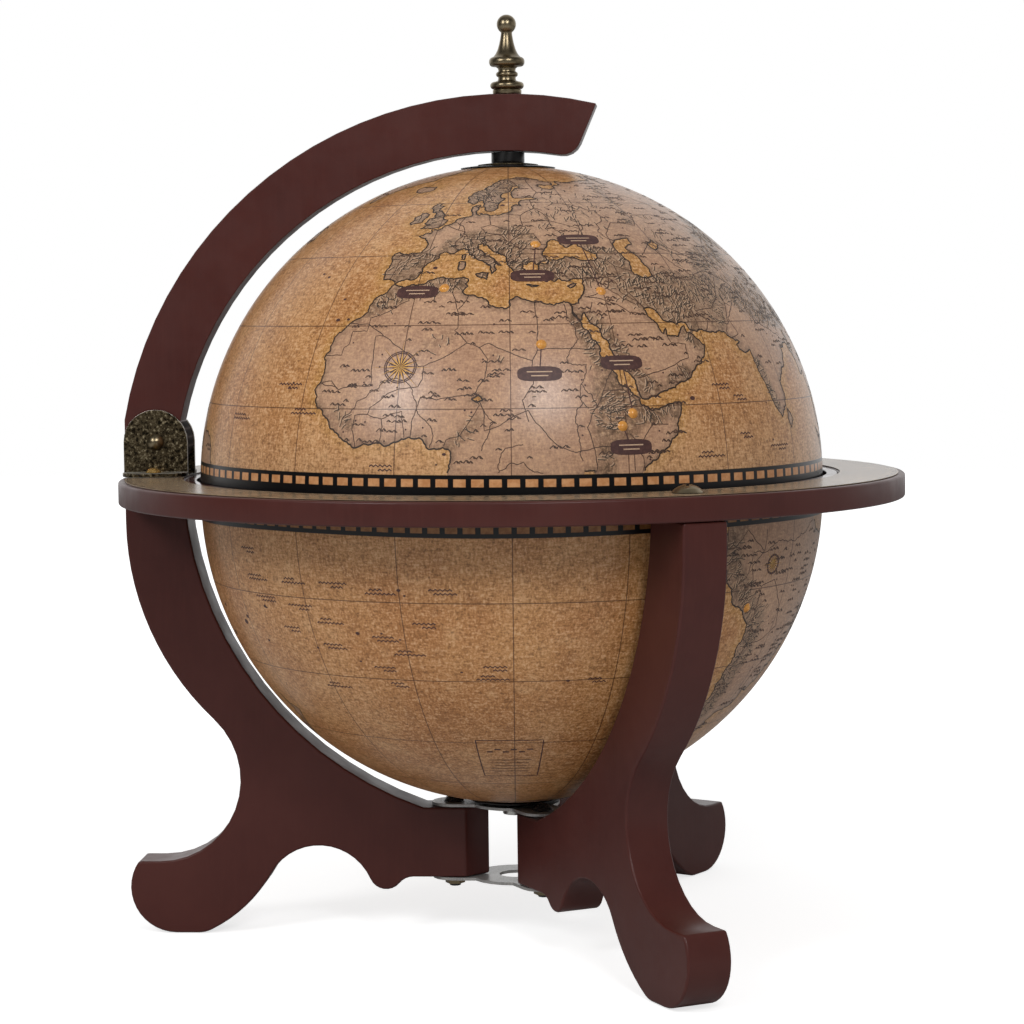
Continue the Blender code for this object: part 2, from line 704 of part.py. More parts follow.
def hinge_nut():
    """Cap nut with a round end and a blind bore."""
    seat_y = ARM_T / 2 + SEAT + BRACKET_T + SEAT
    bore_end = HINGE_NUT_H - HINGE_NUT_WALL
    bore_r = HINGE_PIN_R + RUN
    wall_z = HINGE_NUT_H - HINGE_NUT_R
    profile = [(0, bore_end), (bore_r, bore_end), (bore_r, 0), (HINGE_NUT_R, 0)]
    profile += arc((0, wall_z), HINGE_NUT_R, 0, pi / 2, TIGHT_CURVE)
    bm = turned_mesh([(r, -z) for r, z in profile], SMALL_STEPS)
    ob = add_object("hinge_nut", move(along_y(bm), hinge_x, seat_y, hinge_z), antique_brass(), 35)
    return ob


def arm_outline():
    """Arm outline in X and Z: over the top, down the free end, back inside and round the hinge end."""
    centre = (arm_x, arm_z)
    hinge = (hinge_x, hinge_z)
    end = radians(ARM_END_ANGLE)
    corner = (arm_x + arm_out * cos(end), arm_z + arm_out * sin(end))
    facing = pi - radians(ARM_END_SLANT)
    back = (arm_x - corner[0]) * cos(facing) + (arm_z - corner[1]) * sin(facing)
    fillet_reach = arm_in + ARM_END_FILLET
    fillet_turn = facing - acos((ARM_END_FILLET - back) / fillet_reach)
    fillet = (arm_x + fillet_reach * cos(fillet_turn), arm_z + fillet_reach * sin(fillet_turn))
    crossing = meet(hinge, ARM_FOOT_R, centre, arm_in)
    outer_end = acos((hinge_x - ARM_FOOT_R - arm_x) / arm_out)
    points = arc(centre, arm_out, outer_end, end, ARM_CURVE)
    points += arc(fillet, ARM_END_FILLET, facing - pi, fillet_turn - pi, TIGHT_CURVE)
    points += arc(centre, arm_in, fillet_turn, towards(centre, crossing), ARM_CURVE)[1:]
    points += arc(hinge, ARM_FOOT_R, towards(hinge, crossing), -pi, LONG_CURVE)[1:]
    return points


def meridian_arm():
    bm = along_y(prism_mesh([arm_outline()], -ARM_T / 2, ARM_T / 2))
    ob = ease(add_object("meridian_arm", bm, stained_wood(), 35), ARM_EASE)
    cut(ob, hinge_hole())
    return cut(ob, drill_mesh(POLE_ROD_R + RUN, arm_under - ARM_W, arm_over + ARM_W))


def pole_washer():
    """Washer flared towards the globe."""
    low = north_flat_z + SEAT + POLE_DISC_T + SEAT
    hole_r = POLE_ROD_R + RUN
    profile = [(hole_r, low), (POLE_WASHER_R, low), (POLE_WASHER_R, low + POLE_WASHER_LIP),
               (SPACER_R, low + POLE_WASHER_T), (hole_r, low + POLE_WASHER_T)]
    return turned("pole_washer", profile, DISC_STEPS, antique_brass(), closed=True, smooth_above=20)


def pole_spacer():
    low = north_flat_z + SEAT + POLE_DISC_T + SEAT + POLE_WASHER_T + SEAT
    return washer("pole_spacer", POLE_ROD_R + RUN, SPACER_R, low, arm_under - SPACER_TOP, black_edge())


def finial_profile(base):
    """Turned finial from its base up: bead, collar, bell, stem and ball."""
    waist = (FINIAL_WAIST_R, base + FINIAL_WAIST_Z)
    bell_z = base + FINIAL_BELL_Z
    ball_low = sqrt(FINIAL_BALL_R ** 2 - FINIAL_TOP_R ** 2)
    ball = (0, base + FINIAL_TOP_Z + ball_low)
    bead_half = FINIAL_BEAD_Z - FINIAL_BASE_H
    bead = arc((FINIAL_BEAD_R - bead_half, base + FINIAL_BEAD_Z), bead_half, -pi / 2, pi / 2, TIGHT_CURVE)
    profile = [(FINIAL_BASE_R, base), (FINIAL_BASE_R, base + FINIAL_BASE_H)] + bead
    profile += [(FINIAL_NECK_R, base + FINIAL_NECK_Z), (FINIAL_COLLAR_R, base + FINIAL_COLLAR_Z), waist]
    profile += [(FINIAL_BELL_R, bell_z), (FINIAL_BELL_R, bell_z + FINIAL_BELL_LIP)]
    profile += [(FINIAL_STEM_R, base + FINIAL_STEM_Z)]
    return profile + arc(ball, FINIAL_BALL_R, -atan2(ball_low, FINIAL_TOP_R), pi / 2, SHORT_CURVE)


def finial():
    """Brass finial that screws on the pole rod."""
    base = arm_over + SEAT
    bore_r = POLE_ROD_R + RUN
    bore_end = base + POLE_ROD_IN_FINIAL + SEAT
    profile = [(0, bore_end), (bore_r, bore_end), (bore_r, base)] + finial_profile(base)
    return turned("finial", profile, DISC_STEPS, antique_brass())


def pole_rod():
    high = arm_over + SEAT + POLE_ROD_IN_FINIAL
    low = pole_nut_low() - POLE_ROD_END
    return add_object("pole_rod", rod_mesh(POLE_ROD_R, low, high), zinc_steel(), 35)


def pole_inner_low():
    return north_flat_z - SHELL_WALL - SEAT - POLE_INNER_T


def pole_nut_low():
    return pole_inner_low() - SEAT - POLE_NUT_H


def pole_inner_washer():
    low = pole_inner_low()
    high = low + POLE_INNER_T
    return washer("pole_inner_washer", POLE_ROD_R + RUN, POLE_INNER_R, low, high, zinc_steel())


def pole_nut():
    low = pole_nut_low()
    return hex_nut("pole_nut", 0, 0, POLE_NUT_R, POLE_ROD_R + RUN, low, low + POLE_NUT_H, zinc_steel())


def pivot_inner_z():
    return south_flat_z + SHELL_WALL + SEAT


def pivot_nut_z():
    return pivot_inner_z() + PIVOT_INNER_T + SEAT


def pivot_bolt_top():
    return pivot_nut_z() + PIVOT_NUT_H + PIVOT_BOLT_END


def pivot_bolt():
    """Bolt that rises from below the upper hub plate, with a round head."""
    head_z = top_plate_z - SEAT
    profile = [(0, head_z - PIVOT_HEAD_H), (PIVOT_HEAD_R, head_z - PIVOT_HEAD_H), (PIVOT_HEAD_R, head_z),
               (PIVOT_BOLT_R, head_z), (PIVOT_BOLT_R, pivot_bolt_top()), (0, pivot_bolt_top())]
    return turned("pivot_bolt", profile, SMALL_STEPS, zinc_steel())


def pivot_washer():
    return washer("pivot_washer", PIVOT_BOLT_R + RUN, PIVOT_WASHER_R, pivot_washer_z,
                  pivot_washer_z + PIVOT_WASHER_T, black_steel())


def pivot_inner_washer():
    low = pivot_inner_z()
    high = low + PIVOT_INNER_T
    return washer("pivot_inner_washer", PIVOT_BOLT_R + RUN, PIVOT_INNER_R, low, high, zinc_steel())


def pivot_nut():
    low = pivot_nut_z()
    high = low + PIVOT_NUT_H
    return hex_nut("pivot_nut", 0, 0, PIVOT_HEAD_R, PIVOT_BOLT_R + RUN, low, high, zinc_steel())


def bowl_r(z):
    """Radius of a board that fits the bowl with its lower edge at a height."""
    return sqrt((mouth_r - WALL_FIT) ** 2 - (lower_z - z) ** 2)


def bottle_base():
    low = pivot_bolt_top() + BASE_LIFT
    return prism("bottle_base", [circle((0, 0), bowl_r(low), LARGE_STEPS)], low, low + BASE_T, tray_wood())


def glass_shelf():
    loops = [circle((0, 0), bowl_r(SHELF_Z), LARGE_STEPS), circle((0, 0), BOTTLE_HOLE_R, DISC_STEPS)]
    return prism("glass_shelf", loops, SHELF_Z, SHELF_Z + SHELF_T, tray_wood())


def glass_tray():
    loops = [circle((0, 0), bowl_r(TRAY_Z), LARGE_STEPS), circle((0, 0), BOTTLE_HOLE_R, DISC_STEPS)]
    for i in range(GLASS_HOLES):
        loops.append(circle(at_angle(GLASS_HOLES_AT, 360 * i / GLASS_HOLES), GLASS_HOLE_R, DISC_STEPS))
    return prism("glass_tray", loops, TRAY_Z, TRAY_Z + TRAY_T, tray_wood())


def build_stand():
    horizon_ring()
    ring_collar()
    ring_print()
    hub_plate("hub_top_plate", top_plate_z, PIVOT_BOLT_R + RUN)
    hub_plate("hub_bottom_plate", bottom_plate_z, HUB_HOLE_R)
    for name, angle in LEG_ANGLES.items():
        leg(name, angle)
        leg_screw(name, angle)
        hub_bolt(name, angle)
        hub_nut(name, angle)
    for name, side in (("near", -1), ("far", 1)):
        bracket("bracket_" + name, side)
        bracket_screw("bracket_screw_" + name, side)
    hinge_pin()
    hinge_nut()
    pivot_bolt()
    pivot_washer()
    pivot_inner_washer()
    pivot_nut()


def build_arm(axis):
    for piece in (meridian_arm, finial, pole_rod, pole_spacer, pole_washer, pole_inner_washer, pole_nut):
        carry(piece(), axis)


def build_upper_half(axis):
    carry(half_shell("upper_shell", upper_z, 1, map_paper()), axis)
    carry(rim_hoop("upper_rim", upper_z, 1), axis)
    low = north_flat_z + SEAT
    carry(washer("north_disc", POLE_ROD_R + RUN, POLE_DISC_R, low, low + POLE_DISC_T, black_edge()), axis)


def build_lower_half(axis):
    carry(half_shell("lower_shell", lower_z, -1, map_paper()), axis)
    carry(rim_hoop("lower_rim", lower_z, -1), axis)
    carry(washer("south_disc", PIVOT_BOLT_R + RUN, POLE_DISC_R, south_disc_z, south_disc_z + POLE_DISC_T,
                 black_edge()), axis)
    for piece in (bottle_base, glass_shelf, glass_tray):
        carry(piece(), axis)


clear_scene()
build_stand()
lid_axis = axis_empty("lid_axis", (hinge_x, 0, hinge_z))
build_arm(lid_axis)
build_upper_half(axis_empty("upper_spin_axis", (0, 0, upper_z), lid_axis))
build_lower_half(axis_empty("lower_spin_axis", (0, 0, lower_z)))
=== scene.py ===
"""Looks of the table globe bar: map, stained wood, brass and the studio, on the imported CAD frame.

All lengths are in metres, in the CAD's frame. The camera stands 4 degrees right of the -Y axis.
"""
import json
import random
from functools import reduce
from math import acos, asin, atan2, cos, degrees, hypot, pi, radians, sin

import bpy
import numpy as np
from mathutils import Matrix, Vector, kdtree


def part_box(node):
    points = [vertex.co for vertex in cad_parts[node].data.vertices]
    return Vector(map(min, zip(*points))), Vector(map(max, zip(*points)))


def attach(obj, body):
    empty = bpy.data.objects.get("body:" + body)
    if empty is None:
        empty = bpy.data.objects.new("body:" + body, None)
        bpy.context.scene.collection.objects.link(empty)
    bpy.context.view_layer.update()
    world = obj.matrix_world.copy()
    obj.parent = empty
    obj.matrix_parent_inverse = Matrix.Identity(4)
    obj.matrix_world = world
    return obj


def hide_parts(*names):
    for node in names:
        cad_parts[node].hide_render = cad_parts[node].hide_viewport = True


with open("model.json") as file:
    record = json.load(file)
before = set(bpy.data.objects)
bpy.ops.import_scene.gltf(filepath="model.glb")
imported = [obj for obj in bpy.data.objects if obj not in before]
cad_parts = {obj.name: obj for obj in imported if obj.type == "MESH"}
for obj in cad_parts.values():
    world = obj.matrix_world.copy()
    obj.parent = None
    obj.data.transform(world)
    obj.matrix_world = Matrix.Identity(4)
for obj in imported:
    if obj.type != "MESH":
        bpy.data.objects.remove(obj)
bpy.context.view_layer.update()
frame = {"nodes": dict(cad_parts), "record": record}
mm = 0.001

# Globe
GLOBE_R = 0.165
WALL = 0.003
SKIRT = 0.0029             # stretch of each shell past its half's centre plane
POLE_FLAT_R = 0.020
POLE = acos(POLE_FLAT_R / GLOBE_R)      # angle from the mouth to the flat's edge
PIN_HOLE_R = {"upper": 0.0033, "lower": 0.0043}
COLUMNS = 432              # stretches round the globe
ROWS = 100                 # and from mouth to pole
INSIDE_ROWS = 20
FACING = radians(-86)      # direction of the meridian that faces the camera
BAND = 4.2                 # degrees of latitude that the equator's band takes from each half

# Map tables: points are a longitude and a latitude in degrees, with commas between them
# Coasts as longitude and latitude in degrees; a shore inside a land is a lake
COASTS = """
africa: -5.9 35.8,-2.9 35.2,-1.2 35.8,3 36.8,7.8 36.9,10 37.3,11 36.9,10.5 35.8,11.1 35.2,10.1 34,11.2 33.3,
13.2 32.9,15.2 32.3,15.7 31.3,18 30.5,19.1 30.3,20.1 31,20 32.1,21.6 32.9,23.1 32.3,25.2 31.6,27.3 31.2,
29 30.9,30.3 31.4,31.9 31.5,32.3 31.2,32.6 29.9,33.6 27.8,34 26.6,35.5 24,36.9 22,37.2 19.6,38.6 18,
39.5 15.6,41.2 14.6,43.1 12.7,43.3 11.5,45 10.5,48 11.2,51.2 11.8,51 10.4,49.8 8,48 4.5,45.4 2,42.5 -0.4,
40.2 -2.6,39.5 -4.3,38.8 -6.4,39.5 -7.5,40.5 -10.5,40.7 -14.5,39 -16.8,36.9 -17.9,34.9 -19.8,35.4 -22,
35.5 -24,32.8 -25.8,32.6 -28.3,31 -29.9,28.2 -32.8,25.7 -34,22 -34.2,19.9 -34.8,18.4 -34,18 -32,16.9 -29,
15.2 -26.8,14.5 -22.7,12 -18,11.8 -16,13.5 -12.5,13.2 -8.8,12.2 -6,9.4 -2.5,8.8 -0.7,9.4 0.5,9.8 2.5,9.7 4,
8.5 4.6,7 4.4,6 4.3,5 5.8,4.3 6.3,2.5 6.4,1.2 6.1,-0.2 5.5,-2 4.8,-4 5.3,-7.5 4.4,-9.3 5.5,-10.8 6.3,
-12.9 7.9,-13.2 8.9,-13.7 9.6,-15 11,-16.8 12.4,-16.7 13.5,-17.5 14.7,-16.5 16.2,-16.1 18.2,-16.3 19.5,
-17 20.8,-16 23.7,-14.5 26.1,-12.9 27.9,-11 28.8,-9.8 29.9,-9.8 31.5,-8.5 33.3,-6.8 34.1;
eurasia: 32.3 31.2,34.2 31.3,35 32.8,35.8 35.5,36.1 36.7,34.5 36.7,32.5 36.1,30.6 36.8,29.7 36.1,28.2 36.7,
27.3 37,26.4 38.3,26.7 39.3,27 40.4,29 40.5,29.1 41.2,31.3 41.1,33.3 42,35.2 42,36.4 41.3,38.4 41,40.5 41,
41.6 41.6,41.5 42.6,39.7 43.4,37.5 44.7,37.3 45.3,38.2 46.6,39.2 47.2,37 46.8,35 46.1,36.5 45.3,34 44.4,
33 45.3,32.6 46.1,30.8 46.5,29.6 45.2,28.6 43.8,27.9 42.5,28.9 41.3,27.5 40.9,26.2 40.1,26 40.8,24.4 40.9,
24 40.1,22.9 40.6,22.9 39.4,24 38.2,23.8 37.7,23 37.9,23.2 36.5,22.4 36.5,21.7 36.8,21.2 37.8,20.8 38.8,
20 39.7,19.4 40.9,19.4 41.9,18.1 42.6,16 43.6,14.5 45.2,13.6 45,13.5 45.7,12.3 45.3,12.4 44.2,13.6 43.5,
14.3 42.4,16 41.9,18.4 40,17 40.5,16.6 39.7,17.1 39,16 38,15.7 40,14.3 40.8,12.3 41.7,10.5 42.9,10.1 43.9,
8.8 44.4,7.5 43.8,6.2 43.1,4 43.5,3.1 43.1,3.2 42,2.1 41.3,0.6 40.6,-0.3 39.4,0.1 38.7,-0.7 37.6,-2.1 36.8,
-4.4 36.7,-5.6 36,-6.4 36.8,-8.9 37,-9.4 38.7,-8.8 41,-9.2 43.1,-8 43.7,-3.8 43.4,-1.8 43.4,-1.2 44.7,
-1.2 46,-2.5 47.3,-4.7 48,-3 48.8,-1.5 48.7,-1.9 49.7,0.2 49.6,1.6 50.9,3.5 51.4,4.6 52.9,7 53.5,8.7 53.9,
8.2 55.5,8.1 57,10.6 57.7,10.3 56.5,9.6 55.5,10 54.6,11 54,13.5 54.4,14.3 53.9,18.6 54.7,19.9 54.9,21.1 55.7,
21.1 57,22.6 57.7,24.1 57.1,23.5 58.7,24.7 59.5,28 59.6,30.2 59.9,28.5 60.6,25 60.2,22 60.3,21.3 61.5,
21.2 63,24.8 65,24 65.8,22 65.5,21 64,17.5 62,17.2 60.7,18.9 59.9,17 58.6,16.5 57,15.9 56.1,14.2 55.4,
12.8 55.5,12.5 56.5,11.2 58.9,10.6 59.5,8 58,5.6 58.9,5 61,6.5 62.7,10 64,12.5 66,14.5 68,18.5 69.8,
25.5 71.1,31 70.3,33.5 69.4,41 67.5,40 66.2,33.5 66.6,34.5 64.5,38 64,40.5 64.7,40 65.6,44 66.2,44 68.4,
46.5 67.8,54 68.3,60.5 69,65 69.2,67 68.8,67 71,70 73,73 71.5,73.5 68,75 72.5,80.5 72.5,81 73.6,87 75,
98 76.2,104.2 77.7,113 75.8,113.5 73.6,119 73,127 73.5,129.5 71.2,140 72.5,150 71.6,160 69.7,170 70,180 68.9,
190.3 66.1,187 64.4,180 64.8,177.5 62.5,170.3 60,164 59.9,162 57,160 53.2,156.7 51,155.7 54.5,156.8 57.8,
161.9 60.4,163.7 62.5,160 61.8,155 59.3,150 59.6,143 59.3,137 54,141.3 53.2,140.4 50,140.5 48,135.5 44.4,
132 43.2,130 42,127.5 39.8,129.4 37,129.2 35.2,126.5 34.4,126.7 37,125 38,125 39.6,121.5 39,122 40.5,118 39,
119 37.3,122.5 37.2,119.3 35,121 32.5,121.9 31,121.5 28.5,119.5 25.5,116.7 23.3,114 22.4,110.5 21.3,
108.3 21.6,106 20,105.8 18.8,108.9 15.3,109.3 12.5,107 10.4,104.9 8.6,105 10,102.5 12,101 13.4,100 13,
99.3 10,100.5 7.3,103.4 4.5,104.2 1.4,103.4 1.4,101.3 2.9,100.3 5.8,98.3 8,98.7 11.5,97.6 16.5,95.3 15.8,
94.3 16.2,94.4 18.5,92.3 20.7,91.7 22.5,89 21.8,87 21.4,86.8 20.3,82.3 16.6,80.2 15,80.3 13.1,79.9 10.4,
78.2 8.9,77.5 8.1,76.3 10,74.8 13,73.5 16,72.8 19,72.7 21.2,70.5 20.8,69 22.3,70.3 22.9,68.2 23.7,66.7 25,
61.6 25.2,57.3 25.7,56.9 27,54.5 26.6,51.5 27.9,50.1 30,48 29.9,48.5 28.3,50.1 26.6,50.8 24.8,51.6 25.9,
51.5 24.4,54 24.2,56.3 26.3,56.4 24.9,58.6 23.6,59.8 22.4,57.8 19,55.2 17.5,52.2 15.6,48.7 14,45 12.8,
43.5 12.7,42.8 15,42.2 16.7,40 20.2,39.1 21.5,38 24,35.6 27.4,34.9 29.4,34.2 27.8,32.6 29.9;
north_america: -168 65.6,-166.5 68.3,-156.5 71.3,-141 69.7,-128 70,-115 68,-108 68,-95 68,-94 71.9,-86 69.8,
-81.5 67.5,-86 66.3,-94 61,-94.5 58.8,-92.5 57,-82.3 55.2,-82 53,-79 51.5,-79 54.5,-76.7 57.5,-78 62.4,
-70 61,-65 60,-62 57.5,-56 52,-60 50.2,-66.5 50.2,-65 48.5,-64.5 47,-61 45.5,-66 43.7,-67 44.8,-70 43.5,
-70.5 41.8,-74 40.5,-75.5 38,-76 35.3,-79 33.5,-81.3 31,-80 26.8,-80.5 25.2,-82.7 28,-84 30,-89 30,-90 29.1,
-94 29.5,-97.3 27.5,-97.5 23,-96 19,-94 18.2,-91.5 18.6,-90.4 21,-87 21.5,-88 18,-88.5 15.8,-83.2 15,
-83.6 11,-81.5 9,-79.5 9.5,-77.4 8.6,-77.9 7.2,-80 7.4,-83 8.4,-85.7 10,-87.5 13,-92.2 14.5,-95 16,-100 17,
-105.5 20.3,-106.5 23.5,-109.4 25.7,-112.5 29.5,-114.8 31.7,-112 27,-109.5 23,-112.2 25.5,-114.5 28,
-117 32.5,-120.6 34.6,-122.5 37.5,-124.3 40.4,-124 46,-123 49,-128 51.5,-131 55,-136 58.3,-144 60,-152 59.3,
-158 56.5,-164.5 54.7,-158 58.7,-162 59.5,-166 61.7,-161 64.3;
south_america: -77.4 8.6,-75.5 10.6,-71.7 12.3,-71.5 10.8,-68 10.6,-62 10.7,-60 8.5,-57 6,-52 5,-50 1,
-48 -0.8,-44.3 -2.6,-39 -3.2,-35.2 -5.3,-34.8 -8,-37 -11.5,-39 -13.5,-39 -17.5,-41 -22,-44.5 -23.2,-48.5 -26,
-48.7 -28.5,-52 -33,-54.9 -34.9,-57.5 -34.4,-57 -36.5,-58 -38.3,-62 -39,-65 -41,-63.8 -42.6,-67.4 -46,
-65.8 -47.8,-69 -51,-68.3 -52.5,-65.2 -54.7,-68.5 -55.5,-72 -53.8,-75 -51.5,-74.5 -48,-75.5 -46.7,-73 -42,
-73.6 -39,-71.6 -33,-71.4 -30,-70.4 -25,-70.1 -20,-70.4 -18.4,-72 -17,-76.2 -14,-77.2 -12,-79.5 -7.5,
-81.3 -5,-80 -3,-81 -2,-80 0.5,-78.8 1.5,-77 4,-77.5 6.5,-77.9 7.2;
greenland: -45 60,-53 66,-54 71,-60 76,-72 78,-60 82,-35 83.5,-20 81,-20 75,-24 70,-32 68,-40 65;
britain: -5.7 50.1,-3.5 50.3,1.3 51.2,0.7 51.5,1.7 52.7,0.3 53,-0.2 54.2,-1.6 55.5,-3 56,-2 57.6,-4 57.8,
-3.1 58.6,-5 58.6,-6.2 56.8,-5 55.5,-3.2 54.9,-3 53.6,-4.5 53.2,-4.5 52.2,-5.2 51.8,-3 51.3,-4.4 51.1;
ireland: -6.1 53.4,-5.6 54.6,-7.3 55.3,-8.6 54.4,-10 53.8,-9.5 52.9,-10.3 52,-9.5 51.5,-6.4 52.2;
iceland: -22.5 64,-18.8 63.4,-14 64.6,-14.8 66.2,-18.5 66.1,-22.4 66.4,-24.2 65.5;
sicily: 12.5 38,15.5 38.3,15.1 36.7,12.9 37.5;
sardinia: 8.3 41,9.7 41,9.6 39.2,8.5 39;
corsica: 8.7 42.6,9.5 42.9,9.4 41.5,8.8 41.6;
crete: 23.6 35.5,26.3 35.2,24.8 34.9;
cyprus: 32.4 35,34.5 35.6,33.8 34.9,33 34.6;
honshu: 130.9 34.2,132.5 35.5,136 35.8,137 37,139.5 38.5,140 40.5,141 41.4,141.9 39.7,140.8 37,140.5 35.5,
138.5 34.7,136 33.6,135 34.5,132 33.9;
kyushu: 130 33.4,131.8 33.3,131.2 31.4,130.2 31.3;
hokkaido: 140.2 41.6,140.5 43.3,141.8 45.4,145.3 44,143.3 42.1;
sakhalin: 142 46,142 53.5,143 54,143.8 49.5,143.3 46.8;
luzon: 120.3 16,120.8 18.5,122.2 18.3,121.6 15,124 12.8,120.7 13.8;
mindanao: 122 7.2,123.5 8.6,125.7 9.7,126.4 7,125.2 5.8,124 6.8;
taiwan: 121.5 25.2,120.2 23,120.8 22,121.6 24.2;
ceylon: 79.8 8,80.2 9.8,81.8 7.5,80.6 6;
borneo: 109 1.5,111.3 2.6,113 3.5,116.8 7,119.2 5.2,117.8 3.5,119 1,117.5 0,116.2 -2.5,114.5 -4,110.2 -2.8,
109.1 -0.5;
sumatra: 95.3 5.6,98 4.3,100.5 2.2,103.5 0,106 -3,105.8 -5.8,104.5 -5.8,102 -3.8,100.3 -0.9,98.7 1.7;
java: 105.2 -6.8,108.5 -6.7,110.8 -6.4,112.7 -6.9,114.5 -7.8,114.3 -8.7,110 -8.1;
new_guinea: 131 -0.8,134 -0.8,135 -3.3,137.8 -1.5,141 -2.6,145.8 -5.3,147.8 -6.7,147.2 -8,150.8 -10.5,
147 -9.5,143 -9.2,141 -9.1,138.5 -8.2,138 -5.5,134 -4,132.8 -2.9;
australia: 113.7 -22.5,114.2 -21.8,117 -20.7,121 -19.5,122.3 -17,124.5 -16.3,126 -14.2,129 -14.9,130.8 -12.4,
132.6 -11.5,136.5 -12,135.5 -14.8,139.2 -17.4,140.9 -17,141.6 -13,142.5 -10.8,143.8 -14.3,145.3 -15.5,
146.3 -18.9,149.2 -21,150.8 -23.3,153.2 -25.5,153.5 -28.5,152.5 -32.2,151.2 -34,150 -37.3,146.5 -39,
144 -38.4,140.5 -38,139 -35.8,137.7 -35.2,138 -33.2,135.8 -34.8,134 -32.7,131 -31.5,126 -32.3,123.8 -33.9,
120 -34,118 -35.1,115 -34.3,115.8 -32,114.2 -28,113.4 -26;
tasmania: 144.7 -40.8,148.2 -40.9,148 -43,146 -43.6,145.2 -42.3;
new_zealand_north: 172.7 -34.5,174.8 -36.8,178.4 -37.7,177 -39.5,175.3 -41.6,173.8 -39.3,174.8 -38;
new_zealand_south: 172.7 -40.6,174.2 -41.7,172.8 -43.7,170.7 -45.9,168.5 -46.6,166.6 -45.9,168.2 -44,
171.2 -42.4;
madagascar: 49.3 -12,50.5 -15.5,49.5 -18,47.1 -25,45 -25.5,43.4 -22.5,44.3 -19.5,44.4 -16.5,46.5 -15.5;
antarctica: -180 -78,-150 -77,-120 -74,-100 -73,-75 -72,-66 -68,-58 -63.5,-62 -70,-60 -75,-35 -78,-15 -72,
10 -70,40 -69,55 -66,80 -68,100 -66,130 -66,150 -69,165 -72,170 -77,180 -78,180 -89,-180 -89;
cuba: -84.9 21.9,-82.5 23.1,-77 21.6,-74.2 20.2,-77.6 19.9;
hispaniola: -74.4 18.5,-72.8 19.9,-69.9 19.7,-68.4 18.6,-71.5 17.8;
newfoundland: -59.2 47.6,-57.3 50.7,-55.5 51.5,-53 48,-55.6 46.9;
baffin: -80 73.7,-68 70.5,-62 66.6,-65 62,-73 64.5,-73.5 68,-88 70.5;
victoria_land: -117 73,-105 73,-102 69,-116 69.2;
ellesmere: -90 76.4,-90 82,-65 83,-78 76.3;
caspian: 49 46.4,51.5 46.8,53 46.8,53 45.2,51 44.5,50.3 44.3,51.4 43,52.6 42,52.9 41,53.8 39,53.9 37,51 36.8,
49 37.6,48.9 39,49.4 40.4,48.3 42,47.5 43,47 44.5;
aral: 58.2 45.5,60.5 46.5,61.5 45,59.5 43.7,58.3 44.5;
baikal: 104 51.6,106 52.3,109.5 55.7,109.9 55.2,107 52.2,105 51.4;
lake_chad: 13.2 13.2,14.4 13.9,15.2 13,14.2 12.5;
lake_victoria: 31.8 -1,32.2 0.2,34 0.3,34 -1.2,33 -2.5,32 -2.4;
great_lakes: -92 46.8,-88 48.8,-84.7 46.7,-81 45.8,-80 44.5,-82.5 43,-79 42.8,-83 41.7,-84.5 45.6,-87.3 41.8,
-87 45.5,-85 46.2
"""
